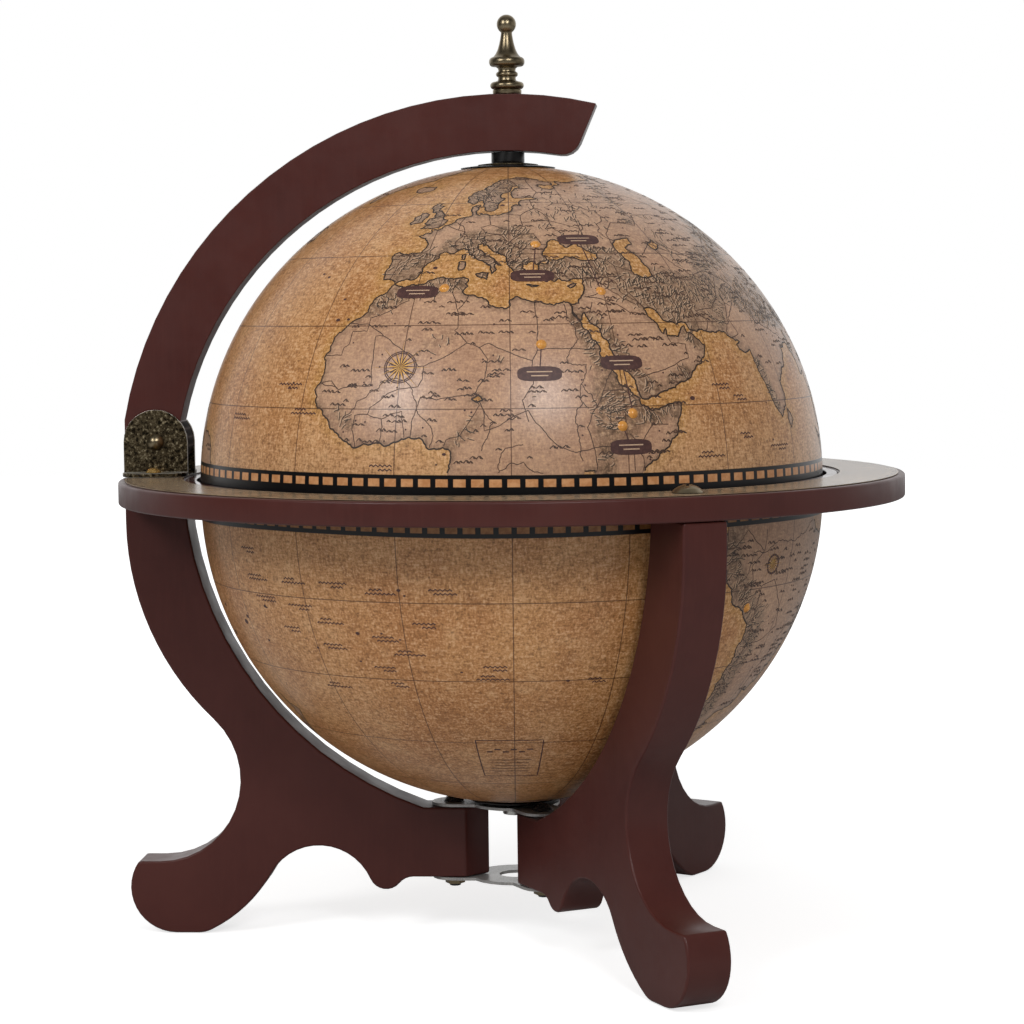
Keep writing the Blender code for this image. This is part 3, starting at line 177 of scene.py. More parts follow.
# Highlands: half width in degrees, strength and course
RANGES = """
4 0.75: -5.5 41.5,-3.5 39.5; 1 0.9: -1.5 43,2 42.4; 2.6 0.8: -3 52,-4 57.5; 2 0.7: -8 53.3; 2.2 1: 6 44.5,
8 46,11 46.8,14.5 47; 1.6 0.95: 9 44.4,13 42.6,16.2 39.5; 1.2 0.8: 14 37.6; 2.8 1: 15.5 45,19 43.3,22 41.5,
22.3 38.6; 1.6 0.8: 18.5 49.3,22 49,25 47,25.5 45.5,22.5 45.3; 3 0.85: 7.5 60,11 62,16 66,22 68.5;
2.6 0.55: 14 57,16 60; 2.8 1: 28 38.6,33 38.6,38 38.8,43 39.2; 1.4 1: 40 43.6,44 42.8,48.5 41;
3.2 1: 44.5 37.5,48 34,52 31,57 28; 2 1: 48.8 37,52 36,57 36.8,61 36; 3.2 0.7: 53 34,58 32.5,61 30;
3 1: 62 33.5,67 34.8,72 36.5; 2 0.9: 66 27,68.5 31,70 33; 2.6 1: 71 38.5,74 41,79 42.3,87 43.5;
2.4 1: 73.5 34.5,79 31,85 28.5,92 28,98 28.5; 4.5 0.6: 80 34,88 34,95 34; 2 0.9: 84 48,91 48,97 46.5;
2 0.9: 92 52.5,99 51.5,110 53,120 56; 1.3 0.45: 58 51.5,59 56,59.5 61,64 67; 1.8 1: -9 31,-5 33,0 34.8,
7 35.9,9.5 36.5; 1.4 0.35: 4.5 23.2,6.5 24,8.5 25; 1.1 0.3: 16.8 21.2,18.6 20; 1 0.3: 23.8 12.6,24.4 13.8;
3.6 1: 38.5 14,39 10.5,38 7; 1.6 0.8: 43 9.5,48 10.4,50 10.6; 1.6 0.9: 36 3,36.5 -1,35 -6,34.5 -11;
1.4 0.9: 33.3 28,35 23.5,36.7 19; 1.4 0.8: 35.8 28.5,38.8 25,41.3 20.5,43.7 16.5; 2 0.8: 44.5 15,46 14.5;
1.4 0.7: 50 15.8,54 17.4; 1.4 0.9: 56.3 24.8,58.5 22.8; 1.2 0.5: 9.5 4.8,12 7,14.5 9.5; 1.2 0.7: -12 11,
-9 8.5; 1 0.9: 74 19,75.5 13.5,77 9.5; 1.2 0.9: 94.5 25,93.8 19.5; 1.2 0.9: 99 19,103 20,107 15.5;
2 0.9: 102 30,104 27,110 26.5,116 26.5; 1.2 0.8: 120 50,127 43; 2 0.9: 128 69,131 65,140 63,150 63;
1 1: 157.5 52.5,160 56.5; 0.7 1: 133 35,137.5 36,140.5 39; 2.6 1: -148 63,-133 60,-123 54,-115 48.5,-109 42,
-106 36.5; 1.3 0.9: -124 50,-121.5 44,-119 37.5; 1.6 0.9: -108 29,-105 24,-101 19; 1.2 0.8: -83 36,-78 40,
-72 44.5; 1.9 0.8: -73.5 8,-76 2.5,-78.5 -2.5,-77 -9; 2.5 0.8: -76.5 -9,-71.5 -14.5,-67.5 -18,-67 -23,
-69 -29,-70 -35,-71.5 -42,-73 -50; 2 0.8: -43.5 -17,-45 -22; 1.5 0.8: -65 4,-60 4.5; 1.2 0.9: 27.5 -31,
29.5 -28.5; 1.3 0.8: 145 -17,148 -23,151.5 -29,148 -36.5; 1 1: 134 -3.5,140 -4.8,146.5 -7.5;
0.7 1: 168.5 -45,171.5 -43; 5 0.5: 40 -78,90 -78,140 -76; 8 0.24: 27 54,38 55,52 56; 6 0.24: 62 46,76 47
"""
# Rivers and borders
RIVERS = """
31 31.2,31.2 30.1,31 28,32.6 25.8,32.9 24,31 21.8,30.5 19.5,33.8 19.2,33.3 17.2,32.5 15.6,32.5 12,31 9.5,
31.6 4.8,32 2; 32.5 15.6,35 11.5,37.3 11.6; -10.5 9.5,-8 12.6,-3 16.6,0 16.7,3.5 11.8,6.5 7.8,6.2 4.6;
-16.4 16,-12.5 15; 8.5 48,13 48.4,17 48.1,19 46.8,19.2 45.2,22.5 44.2,26 43.8,28 45.2,29.6 45.2; 9 47.5,
7.7 48.5,7 50.8,4.5 51.9; 39 53.5,41 49.7,39.4 47.2; 33 57,40 57.8,45 56.3,49 55.5,49 53,46 51,45 48.6,
48 46; 32 54.7,30.7 50.4,35 48.3,32.6 46.6; 40 38,43.2 36.2,44.4 33.2,47.4 31,48.3 30; 38.5 38.6,38.2 36.6,
41 34.6,44.3 32,47.4 31; 70 37.3,65 37.8,60.5 42,59 43.8; 81 31.5,75 35,72 33.5,70.5 29,68 25.5,67.5 24;
72 41,67 43,61.5 46; 79 30,80.5 26.5,85 25.4,88.3 24.3,90 23; 92 52,92 57,88 63,86.5 67,83 71; 86 52.5,81 56,
73 61,66 63,67 66.5,72.5 66.6; 97 32,100.5 22,102.5 18,105 14,106 10; 106 54,115 60,127 62,126 68,127 72.5;
97 33,101 26.5,105 29,111 30.4,121.7 31.5; 96 35,103 36,106.5 39.5,110.5 40.2,110.5 35,118.5 37.6; 15 4,17 9,
14.8 12.3; 12.4 -6,15.5 -4,18 0.5,22 2,25.3 0,26 -5; 23 -12,25 -17.8,30 -15.7,36 -18.8; -95 47,-91 42.5,
-90 38,-89.2 36.5,-91 32,-89.3 29.2; -112 46,-102 47,-96 41,-90 38.6; -50 0,-55 -2.2,-60 -3.2,-66 -3,
-73 -4.2,-76 -10; -58.4 -34,-58 -30,-54.5 -25.5,-50 -20; 139 -35,142 -34.1,147 -36; 22 5,19 4.4,18 0.5;
42.5 0,42.2 4,40 6.5
"""
BORDERS = """
25 31.6,25 22,36.9 22; 25 22,24 20,24 15.7,22 12.8,23 9; 24 20,16 23.4,14.3 22.6,12 23.5,4.2 19.2,3.2 19.1,
1.2 21,-4.8 25,-8.7 27.4; 9.5 30.2,10 26.5,9.4 26,12 23.5; 8.3 36.9,8 34,9.5 30.2,11.5 33.1; -2.2 35,
-1.2 32.2,-5 30,-8.7 28.7,-8.7 27.4,-13 27.6; -8.7 27.4,-8.7 26,-12 26,-12 23.4,-13 22.8,-13.1 21.3,
-17 21.3; -4.8 25,-6.5 25,-5.5 15.5,-10 15.4,-12.2 14.8,-14 16.4,-16.4 16; 4.2 19.2,4.2 16.8,3.5 15.4,0.2 15,
-2 14.2,-5.2 11.6,-5.5 10.4,-2.8 9.6,0.9 11; 3.6 11.7,4.1 13.5,7 13,13.6 13.7,15.5 16.9,15.9 20.4,14.3 22.6;
14 13,14.6 12,13.2 9.6,11.3 6.6,9 5.9,8.6 4.8; 2.7 6.4,2.8 9,3.6 11.7; 1.6 6.3,1 9.5,0.9 11; -3.1 5.1,
-2.5 8.2,-2.8 9.6; 14.5 12.8,15.5 10,15.5 7.5,19 9,23 11; -7.5 4.4,-8.3 7.6,-8 10.2,-5.5 10.4; 23 11,
24.3 8.7,27.4 5.1,30.8 3.5,34 4.2; 34 4.2,36 4.4,42 4,45 8,48 8; 34 4.2,33 7.8,34.2 10.5,36.4 14.3,38.5 18;
36.4 14.3,40 14.5,42.4 12.5; 34 4.2,34.5 1,34 -1; 42 4,41 2.8,41 -1,41.5 -1.7; 35.7 32.7,39 32.2,42 31.1,
44.7 29.2,46.5 29.1,48 28.6; 37 31.5,36 29.2,35 29.4; 36.1 35.8,37 36.7,42.3 37.1,44.8 37.2; 42.3 37.1,
41.2 34.5,38.8 33.4,36 32.6; 44.8 39.7,44.8 37.2,46 35.7,45.5 33.7,47.7 31,48.5 30; 41.5 41.5,43.5 41.1,
44.8 39.7,48.8 38.4; 53.9 37.3,57 38.2,61.2 36.6,61 34.5,61 31.5,61.8 30.8,61 29.5,63.3 27.2,61.6 25.2;
61.2 36.6,64.5 36.2,66.5 37.4,71 38.4,74.5 37.2; 61 29.5,66.3 29.9,69.3 31.9,71 34,73.5 36.8; 68.2 23.7,
71 24.5,70 27.8,74.5 31,75.3 32.5,74 34.8,77 35.4; 43.2 16.5,46 17.2,52 19,55 20,55.2 22.7,52 23,51.5 24.4;
52 19,53 16.7; -1.8 43.4,3.1 42.4; -8.8 41.9,-6.5 41.9,-7 38.2,-7.4 37.2; 2.5 51.1,6 49.5,8.2 49,7.6 47.6,
6.2 46.2,7 44.2,7.5 43.8; 7.6 47.6,13 47.6,17 48.1; 6.2 46.2,9 46,10.5 46.8,13.7 46.5,13.7 45.7,16.5 46.5;
6.9 53.3,6 51.8,6 49.5; 14.2 53.9,14.8 51,12.2 50.2,13.8 48.7,17 48.1,22.2 48.4; 14.8 51,18.8 49.5,22.6 49.1,
24 50.6,23.6 53.9,19.5 54.4; 16.5 46.5,18.8 45.9,20.3 46.1,22.9 48; 20.3 46.1,22.7 44.3,22.4 42.3,20.9 40.9,
20 39.7; 22.7 44.3,28.6 43.8; 22.4 42.3,23 41.3,26.4 41.6; 22.9 48,26.6 48.3,28.2 45.5; 23.6 53.9,26.6 55.7,
28.2 56.2,27.5 59.4; 28.2 56.2,31 54,31.8 52.1,34.5 51.3,40 49.6,38.3 47.1; 31.8 52.1,24 51.6; 29 60.5,
31.3 62.8,29.5 66,29 69.1; 11.8 59,12.5 62,14 64.5,18 68.5,20.5 69,24 65.8; 47 45,47 48,51 51.5,59 50.7,
61.5 54,71 54.2,77 53.5,83.5 51,87 49.2; 54 42.2,58.5 45.6,61 44.3,66 42.5,70.5 42.5,80 42.2,82.5 45.5,
85.5 47,87 49.2; 87 49.2,98 52,107 50,116 49.9,120 53,127 50,131 47.8,135 48.4; 74.5 37.2,78 35.4,81 30.2,
88 28,97.3 28,98 24,102 22.4,108 21.6; 87 49.2,96 43,105 42,112 43.5,116 46.5; -123 49,-95 49,-83 46,-75 45,
-67 47; -117 32.5,-111 31.3,-106.5 31.8,-103 29,-97.3 26; -70.4 -18.4,-69 -17.5,-67.5 -22.8,-69.8 -28,
-70 -34,-71.6 -43,-72 -52; -69 -17.5,-69 -11,-72 -10,-73 -7,-70 -4.3; -67.5 -22.8,-62.5 -22.2,-58 -20,
-60 -16,-65 -10,-69 -11; -80.3 -3.4,-78 -3,-75 0,-70 -4.3,-69.5 1,-67 1.2,-63 4,-60 5; 14 -5.9,17 -8,22 -7,
22 -13,24 -17.8,21 -18,12 -17.2; 20 -28,20 -22,21 -18
"""
# Small islands: longitude, latitude and width in mm
ISLANDS = """
-149.5 -17.6 2.5,-140 -9 2.2,-139 -10 1.5,-172 -13.8 2.5,-171.5 -14 1.5,-160 -21.2 1.8,-144.5 -17.4 1.5,
-141 -18.5 1.4,-150.5 -23.4 1.5,-130 -25 1.5,-109.4 -27.1 2,-91 -0.8 3.5,-90.2 -0.4 2,-175 -21 2,178 -17.8 4,
179.5 -16.6 3,165.5 -21.5 5,167.3 -15.5 3,160 -9.6 4.5,-155.6 19.6 4,-157.9 21.4 2,-16.6 28.3 2.5,-14 28.4 2,
-17 32.7 1.8,-24 15.1 2,-23.2 16 1.5,-25.5 37.8 2,-28 38.6 1.8,55.5 -21.1 2,57.5 -20.2 2,53.8 12.5 3,
73 4.2 1.5,72.8 11 1.2,8.7 3.4 2,7.4 1.6 1.2,2.9 39.6 2.5,28 36.2 2,18 57.5 2.5,-80 -33.6 1.5,-145 -38 1,
-59.5 -51.7 6,-36.5 -54.4 3,70 -49.3 4
"""
# Places of drawn waves
RIPPLES = {
    "upper": """
-37.9 9.7,-20.2 11,-24 15.6,61 14.7,65 12.5,65 5.6,55.6 2.6,75 3,-2.5 1.2,-150 20,-130 8,150 15
""",
    "lower": """
-174 -3,-173 -8,-163 -8,-153 -8.3,-144.4 -9.2,-132.5 -9,-171 -12,-161.6 -13,-156 -15.3,-165.5 -17.6,
-136 -15.4,-144.4 -18.3,-156 -20.4,-140.5 -21,-145.5 -24.6,-159.4 -29,-143.7 -28,-123.5 -24,-125 -26,
-104 -27,-15 -15,-5 -25,75 -15,90 -35,65 -40
""",
}
# Printed pins: the plaque's place and the pin's
MARKERS = {
    "upper": [((25.1, 37.5), (26.7, 45.3)), ((38.2, 46.5), (39.6, 33.9)), ((0.2, 34.1), (6, 34.9)),
              ((25.2, 17.6), (25.8, 23.1)), ((40.6, 19.4), (41.4, 10.1)), ((40.6, 4.2), (39.3, 7.9)),
              ((-88, 15), (-87, 21)), ((135, 12), (134, 18)), ((-100, 40), (-98, 46))],
    "lower": [(None, (-72, -14.9)), ((35, -12), (36, -7)), ((122, -12), (121, -7))],
}
PIN_WIDTH = 0.005
PLAQUE = (0.0215, 0.0075, 3.5)                               # width, height and squareness
PLAQUE_RULES = ((0.0063, 0.001), (0.0042, -0.0011))          # half length and level of each
# Wind roses: place and radius
ROSES = {
    "upper": [((-0.3, 19), 0.015), ((-160, 35), 0.016)],
    "lower": [((-66.5, -7), 0.0095), ((-20, -40), 0.016), ((85, -25), 0.016)],
}
ROSE_POINTS = 16
ROSE_SHORT = 0.68          # reach of every second point, as a share of the radius
ROSE_ROOT = 0.22           # share at which neighbouring points meet
ROSE_CIRCLES = (0.5, 0.56)
# Framed scale bar: west, east, north and south edges
SCALE_BOX = (-129.5, -113, -42, -54.7)
SCALE_BLOCK = (0.0031, 0.0011, 12)                           # width, height and squareness
TOWNS = 120                # dots on each half's land
TOWN_WIDTH = 0.001
STROKES = 3.2              # hachure strokes in a square degree of range, per degree of its half width
STROKE_SPREAD = 0.6        # how far they stray, as a share of the range's half width
STROKE_REACH = (0.0008, 0.0024)
STROKE_BEND = 0.0005
LIGHT_SHIFT = (-0.0006, 0.0004)
HILL_WIDTH = (0.0022, 0.004)
HILL_HEIGHT = (0.0009, 0.0017)
HILL_FOOT = 0.0003         # how far up or down a hill's foot may stand
WAVE_STEP = (0.0012, 0.0009)
WAVE_DROP = 0.0021         # of the second wave in each pair
# How much drawn lines wander, and their finest stretch in degrees
COAST_WANDER = (0.17, 0.5)
ISLE_WANDER = (0.12, 0.5)
ISLE_POINTS = 12           # a shore with more points than this wanders as a coast
RIVER_WANDER = (0.16, 0.6)
BORDER_WANDER = (0.06, 0.8)
STRAIGHT = (0.0, 1.0)


def srgb(r, g, b):
    """Colour given as picture values from 0 to 255, as linear light with full alpha."""
    light = [v / 255 / 12.92 if v < 10.3 else ((v / 255 + 0.055) / 1.055) ** 2.4 for v in (r, g, b)]
    return (*light, 1.0)


class Tree:
    """Adds nodes to a node tree; values can be numbers or sockets."""

    def __init__(self, tree):
        self.tree = tree

    def node(self, kind, settings=None, **inputs):
        made = self.tree.nodes.new("ShaderNode" + kind)
        for key, value in (settings or {}).items():
            setattr(made, key, value)
        for key, value in inputs.items():
            self.feed(made.inputs[key.replace("_", " ")], value)
        return made

    def feed(self, socket, value):
        if isinstance(value, bpy.types.NodeSocket):
            self.tree.links.new(value, socket)
        else:
            socket.default_value = value

    def math(self, operation, *values):
        made = self.node("Math", {"operation": operation})
        for socket, value in zip(made.inputs, values):
            self.feed(socket, value)
        return made.outputs[0]

    def times(self, *values):
        return reduce(lambda a, b: self.math("MULTIPLY", a, b), values)

    def most(self, *values):
        return reduce(lambda a, b: self.math("MAXIMUM", a, b), values)

    def fade(self, value, low, high, to_low=0.0, to_high=1.0, kind="SMOOTHSTEP"):
        """Step from to_low to to_high as value goes from low to high."""
        made = self.node("MapRange", {"interpolation_type": kind}, Value=value)
        for key, number in (("From Min", low), ("From Max", high), ("To Min", to_low), ("To Max", to_high)):
            self.feed(made.inputs[key], number)
        return made.outputs[0]


class Paint(Tree):
    """Builds a node material."""

    def __init__(self, name, **settings):
        self.material = bpy.data.materials.new(name)
        self.material.use_nodes = True
        super().__init__(self.material.node_tree)
        self.surface = self.tree.nodes["Principled BSDF"]
        self.place = None
        for key, value in settings.items():
            self.set(key.replace("_", " "), value)

    def set(self, name, value):
        self.feed(self.surface.inputs[name], value)

    def position(self):
        if self.place is None:
            self.place = self.node("TexCoord").outputs["Object"]
        return self.place

    def axes(self):
        return self.node("SeparateXYZ", None, Vector=self.position()).outputs

    def stretched(self, x, y, z, lean=0.0):
        """Place times a number along each axis, after leaning about Y."""
        made = self.node("Mapping", {"vector_type": "TEXTURE"}, Vector=self.position())
        made.inputs["Rotation"].default_value = (0, radians(lean), 0)
        made.inputs["Scale"].default_value = (1 / x, 1 / y, 1 / z)
        return made.outputs[0]

    def noise(self, scale, detail=3.0, roughness=0.55, vector=None, distortion=0.0):
        made = self.node("TexNoise", None, Vector=vector or self.position(), Scale=scale, Detail=detail,
                         Roughness=roughness, Distortion=distortion)
        return made.outputs["Fac"]

    def mix(self, share, first, second):
        made = self.node("Mix", {"data_type": "RGBA"})
        self.feed(made.inputs["Factor"], share)
        self.feed(made.inputs[6], first)
        self.feed(made.inputs[7], second)
        return made.outputs[2]

    def ridges(self, field):
        """1 along the middle values of a field, falling to 0 on both sides: wandering lines."""
        return self.math("SUBTRACT", 1.0, self.math("ABSOLUTE", self.math("MULTIPLY_ADD", field, 2.0, -1.0)))

    def repeats(self, along, count, length):
        """Distance from the nearest of evenly spaced lines, which are a length apart."""
        part = self.math("FRACT", self.math("MULTIPLY_ADD", along, count, 0.5))
        return self.times(self.math("ABSOLUTE", self.math("SUBTRACT", part, 0.5)), length)

    def between(self, value, low, high, blur):
        """1 from low to high, 0 outside."""
        rise = self.fade(value, low - blur, low + blur)
        return self.times(rise, self.fade(value, high + blur, high - blur))

    def bump(self, height, strength, distance):
        made = self.node("Bump", None, Height=height, Strength=strength, Distance=distance)
        self.set("Normal", made.outputs[0])


def aged_colour(paint, base, light, dark, patch=18.0):
    """Base colour with broad lighter and darker patches."""
    broad = paint.noise(patch, 4.0, 0.6)
    tone = paint.mix(paint.fade(broad, 0.35, 0.75), base, light)
    return paint.mix(paint.fade(broad, 0.45, 0.2), tone, dark)


def map_paint(name, half):
    """Antique-style map: land and sea, relief, graticule and the equator's chequered band."""
    p = Paint(name, Specular_IOR_Level=0.42)
    land = p.times(p.node("Attribute", {"attribute_name": "land"}).outputs["Fac"], 1 / mm)
    relief = p.node("Attribute", {"attribute_name": "relief"}).outputs["Fac"]
    grid = p.node("UVMap", {"uv_map": "grid"}).outputs[0]
    along, across = p.node("SeparateXYZ", None, Vector=grid).outputs[:2]
    height = p.times(p.math("SUBTRACT", p.axes()[2], half["z"]), half["up"] / mm)
    # Paper: grain in two directions, specks and patches of three sizes
    upright = p.noise(1.0, 3.0, 0.65, p.stretched(800, 800, 260))
    level = p.noise(1.0, 3.0, 0.65, p.stretched(250, 250, 900))
    speck = p.noise(900.0, 4.0, 0.7)
    grain = p.math("MULTIPLY_ADD", p.math("ADD", upright, level), 0.3, p.times(speck, 0.4))
    fleck = p.noise(1500.0, 2.0, 0.6)
    broad = p.noise(17.0, 5.0, 0.6)
    cloud = p.noise(60.0, 4.0, 0.6)
    blotch = p.noise(240.0, 4.0, 0.6)
    # Sea, yellower by the shores, and lighter towards the equator as painted light reflected from the ring
    sea = p.mix(p.fade(broad, 0.3, 0.7), srgb(174, 118, 68), srgb(191, 139, 87))
    sea = p.mix(p.fade(cloud, 0.5, 0.75), sea, srgb(198, 150, 102))
    sea = p.mix(p.fade(cloud, 0.45, 0.25, 0.0, 0.6), sea, srgb(151, 101, 59))
    sea = p.mix(p.fade(land, -7.5, -1.0, 0.0, 0.75), sea, srgb(183, 134, 73))
    # Painted light: on the upper half the sea is lightened towards the equator, as if lit from the ring
    sea = p.mix(p.fade(height, 48.0, 4.0, 0.0, half["pale"]), sea, srgb(206, 166, 124))
    # Land, shaded along its shores and in the highlands
    ground = p.mix(p.fade(broad, 0.3, 0.7), srgb(170, 131, 104), srgb(184, 147, 119))
    ground = p.mix(p.fade(cloud, 0.45, 0.2, 0.0, 0.7), ground, srgb(148, 112, 84))
    shore = p.times(p.fade(land, 4.2, 0.0), p.fade(blotch, 0.3, 0.7, 0.3, 1.0))
    ground = p.mix(p.times(shore, 0.7), ground, srgb(96, 77, 62))
    high = p.times(p.fade(relief, 0.05, 0.8), p.fade(blotch, 0.25, 0.6, 0.55, 1.0))
    ground = p.mix(p.times(high, 0.72), ground, srgb(112, 88, 68))
    lean = p.ridges(p.noise(1.0, 2.0, 0.5, p.stretched(130, 260, 340, 38), 0.8))
    across_lean = p.ridges(p.noise(1.0, 2.0, 0.5, p.stretched(340, 260, 140, 20), 0.8))
    stroke = p.most(p.times(lean, p.fade(cloud, 0.65, 0.45)), p.times(across_lean, p.fade(cloud, 0.4, 0.6)))
    ground = p.mix(p.times(high, p.fade(stroke, 0.84, 0.98, 0.0, 0.6)), ground, srgb(58, 45, 34))
    ground = p.mix(p.times(high, p.fade(stroke, 0.78, 0.5, 0.0, 0.7)), ground, srgb(178, 148, 122))
    # Fibres, stronger on the sea
    on_land = p.fade(land, -0.25, 0.25)
    colour = p.mix(on_land, sea, ground)
    rough = p.math("MULTIPLY_ADD", on_land, -0.45, 1.0)
    colour = p.mix(p.times(p.fade(grain, 0.53, 0.37, 0.0, 0.72), rough), colour, srgb(92, 58, 32))
    colour = p.mix(p.times(p.fade(grain, 0.49, 0.62, 0.0, 0.8), rough), colour, srgb(218, 176, 134))
    colour = p.mix(p.fade(fleck, 0.37, 0.24, 0.0, 0.22), colour, srgb(74, 48, 30))
    # Graticule
    nearness = p.math("COSINE", p.times(across, pi / 2))
    meridian = p.times(p.repeats(along, 18.0, 2 * pi * GLOBE_R / 18 / mm), nearness)
    parallel = p.repeats(across, 6.0, radians(15) * GLOBE_R / mm)
    lines = p.fade(p.math("MINIMUM", meridian, parallel), 0.36, 0.14, 0.0, 0.8)
    colour = p.mix(lines, colour, srgb(64, 36, 24))
    # Chequered band, whose edges wander a little; the lower half's squares are darkened as painted shadow of
    # the ring
    size, waves, shift, lift = half["wave"]
    wave = p.math("COSINE", p.math("MULTIPLY_ADD", along, 2 * pi * waves, shift))
    height = p.math("ADD", height, p.math("MULTIPLY_ADD", wave, size, lift))
    band_low, band_high, band_top = half["band"]
    step = p.math("FRACT", p.math("ADD", p.times(along, 120.0), half["phase"]))
    square = p.between(height, band_low, band_high, 0.15)
    square = p.times(square, p.fade(step, 0.0, 0.03), p.fade(step, 0.725, 0.695))
    tan = p.mix(p.fade(p.noise(300.0, 3.0, 0.6), 0.35, 0.7), *half["squares"])
    band = p.mix(square, srgb(9, 8, 10), tan)
    p.set("Base Color", p.mix(p.fade(height, band_top - 0.2, band_top + 0.2, 1.0, 0.0), colour, band))
    p.set("Roughness", p.fade(grain, 0.3, 0.7, 0.33, 0.27))
    p.bump(grain, 0.1, 0.0002)
    return p.material


def ink_paint(name, colour, worn, roughness=0.5):
    """Printed line, thinner and paler in places."""
    p = Paint(name, Roughness=roughness)
    p.set("Base Color", p.mix(p.fade(p.noise(380.0, 3.0, 0.7), 0.42, 0.75), colour, worn))
    return p.material


def wood_paint(name, base, light, dark, roughness=0.36, hinge=None):
    """Stained and lacquered wood: faint grain, cloudy tone; with a hinge, black painted shade round it."""
    p = Paint(name, Specular_IOR_Level=0.26)
    tone = aged_colour(p, base, light, dark, 14.0)
    fine = p.noise(1.0, 4.0, 0.6, p.stretched(420, 420, 38))
    tone = p.mix(p.fade(fine, 0.42, 0.7, 0.0, 0.35), tone, light)
    tone = p.mix(p.fade(p.noise(1400.0, 2.0, 0.5), 0.33, 0.2, 0.0, 0.6), tone, dark)
    shine = p.fade(p.noise(60.0, 4.0, 0.6), 0.3, 0.7, roughness + 0.05, roughness - 0.05)
    # Painted shade: the arm's foot round the hinge is painted almost black, shaded between the brackets
    if hinge:
        at, reach = hinge
        across = p.node("VectorMath", {"operation": "MULTIPLY"}, Vector=p.position())
        across.inputs[1].default_value = (1, 0, 1)
        off = p.node("VectorMath", {"operation": "DISTANCE"}, Vector=across.outputs[0])
        off.inputs[1].default_value = at
        hinge_shade = p.fade(off.outputs["Value"], reach, reach - 0.0004)
        tone = p.mix(hinge_shade, tone, srgb(10, 8, 8))
        shine = p.math("MULTIPLY_ADD", hinge_shade, 0.5, shine)
    p.set("Base Color", tone)
    p.set("Roughness", shine)
    p.bump(p.math("ADD", fine, p.noise(900.0, 2.0, 0.5)), 0.06, 0.0002)
    return p.material


def brass_paint(name, patina):
    """Antique brass: dark patina, more or less of it, with bright rubbed flecks."""
    p = Paint(name, Metallic=1.0)
    fleck = p.noise(520.0, 4.0, 0.72)
    rubbed = aged_colour(p, srgb(126, 113, 90), srgb(146, 133, 108), srgb(98, 87, 67), 60.0)
    old = aged_colour(p, srgb(78, 68, 51), srgb(104, 92, 70), srgb(42, 35, 26), 150.0)
    old = p.mix(p.fade(fleck, 0.5, 0.4, 0.0, 0.9), old, srgb(14, 12, 9))
    old = p.mix(p.fade(fleck, 0.55, 0.65, 0.0, 0.95), old, srgb(184, 170, 138))
    cover = p.fade(p.noise(260.0, 4.0, 0.65), 0.8 - patina, 0.95 - patina)
    p.set("Base Color", p.mix(cover, rubbed, old))
    p.set("Roughness", p.math("MULTIPLY_ADD", cover, 0.1, 0.32))
    p.bump(fleck, 0.08 + 0.2 * patina, 0.0003)
    return p.material


def steel_paint(name, base, metallic, roughness):
    """Metal with fine brushing and faint stains."""
    p = Paint(name, Metallic=metallic, Roughness=roughness)
    light = tuple(min(1.0, v * 1.35) for v in base[:3]) + (1.0,)
    dark = tuple(v * 0.6 for v in base[:3]) + (1.0,)
    brushed = p.noise(1.0, 3.0, 0.6, p.stretched(1800, 1800, 240))
    tone = p.mix(p.fade(brushed, 0.35, 0.7), aged_colour(p, base, light, dark, 90.0), light)
    p.set("Base Color", tone)
    p.set("Roughness", p.fade(brushed, 0.3, 0.7, roughness + 0.08, roughness - 0.08))
    p.bump(brushed, 0.1, 0.0001)
    return p.material


def black_paint(name):
    """Black lacquer on the globe's edges and discs."""
    p = Paint(name, Specular_IOR_Level=0.35)
    tone = aged_colour(p, srgb(11, 10, 10), srgb(19, 17, 17), srgb(7, 6, 6), 80.0)
    worn = p.fade(p.noise(900.0, 3.0, 0.6), 0.58, 0.75, 0.0, 0.5)
    p.set("Base Color", p.mix(worn, tone, srgb(34, 29, 27)))
    p.set("Roughness", p.fade(p.noise(200.0, 3.0, 0.6), 0.3, 0.7, 0.42, 0.28))
    p.bump(p.noise(700.0, 2.0, 0.5), 0.08, 0.0002)
    return p.material


def lining_paint(name):
    """Plain dark brown paper lining inside the halves."""
    p = Paint(name, Roughness=0.7)
    fibre = p.noise(1.0, 4.0, 0.65, p.stretched(500, 500, 900))
    tone = aged_colour(p, srgb(78, 50, 36), srgb(96, 64, 46), srgb(58, 36, 26), 22.0)
    p.set("Base Color", p.mix(p.fade(fibre, 0.45, 0.7, 0.0, 0.5), tone, srgb(118, 84, 62)))
    p.bump(fibre, 0.15, 0.0003)
    return p.material


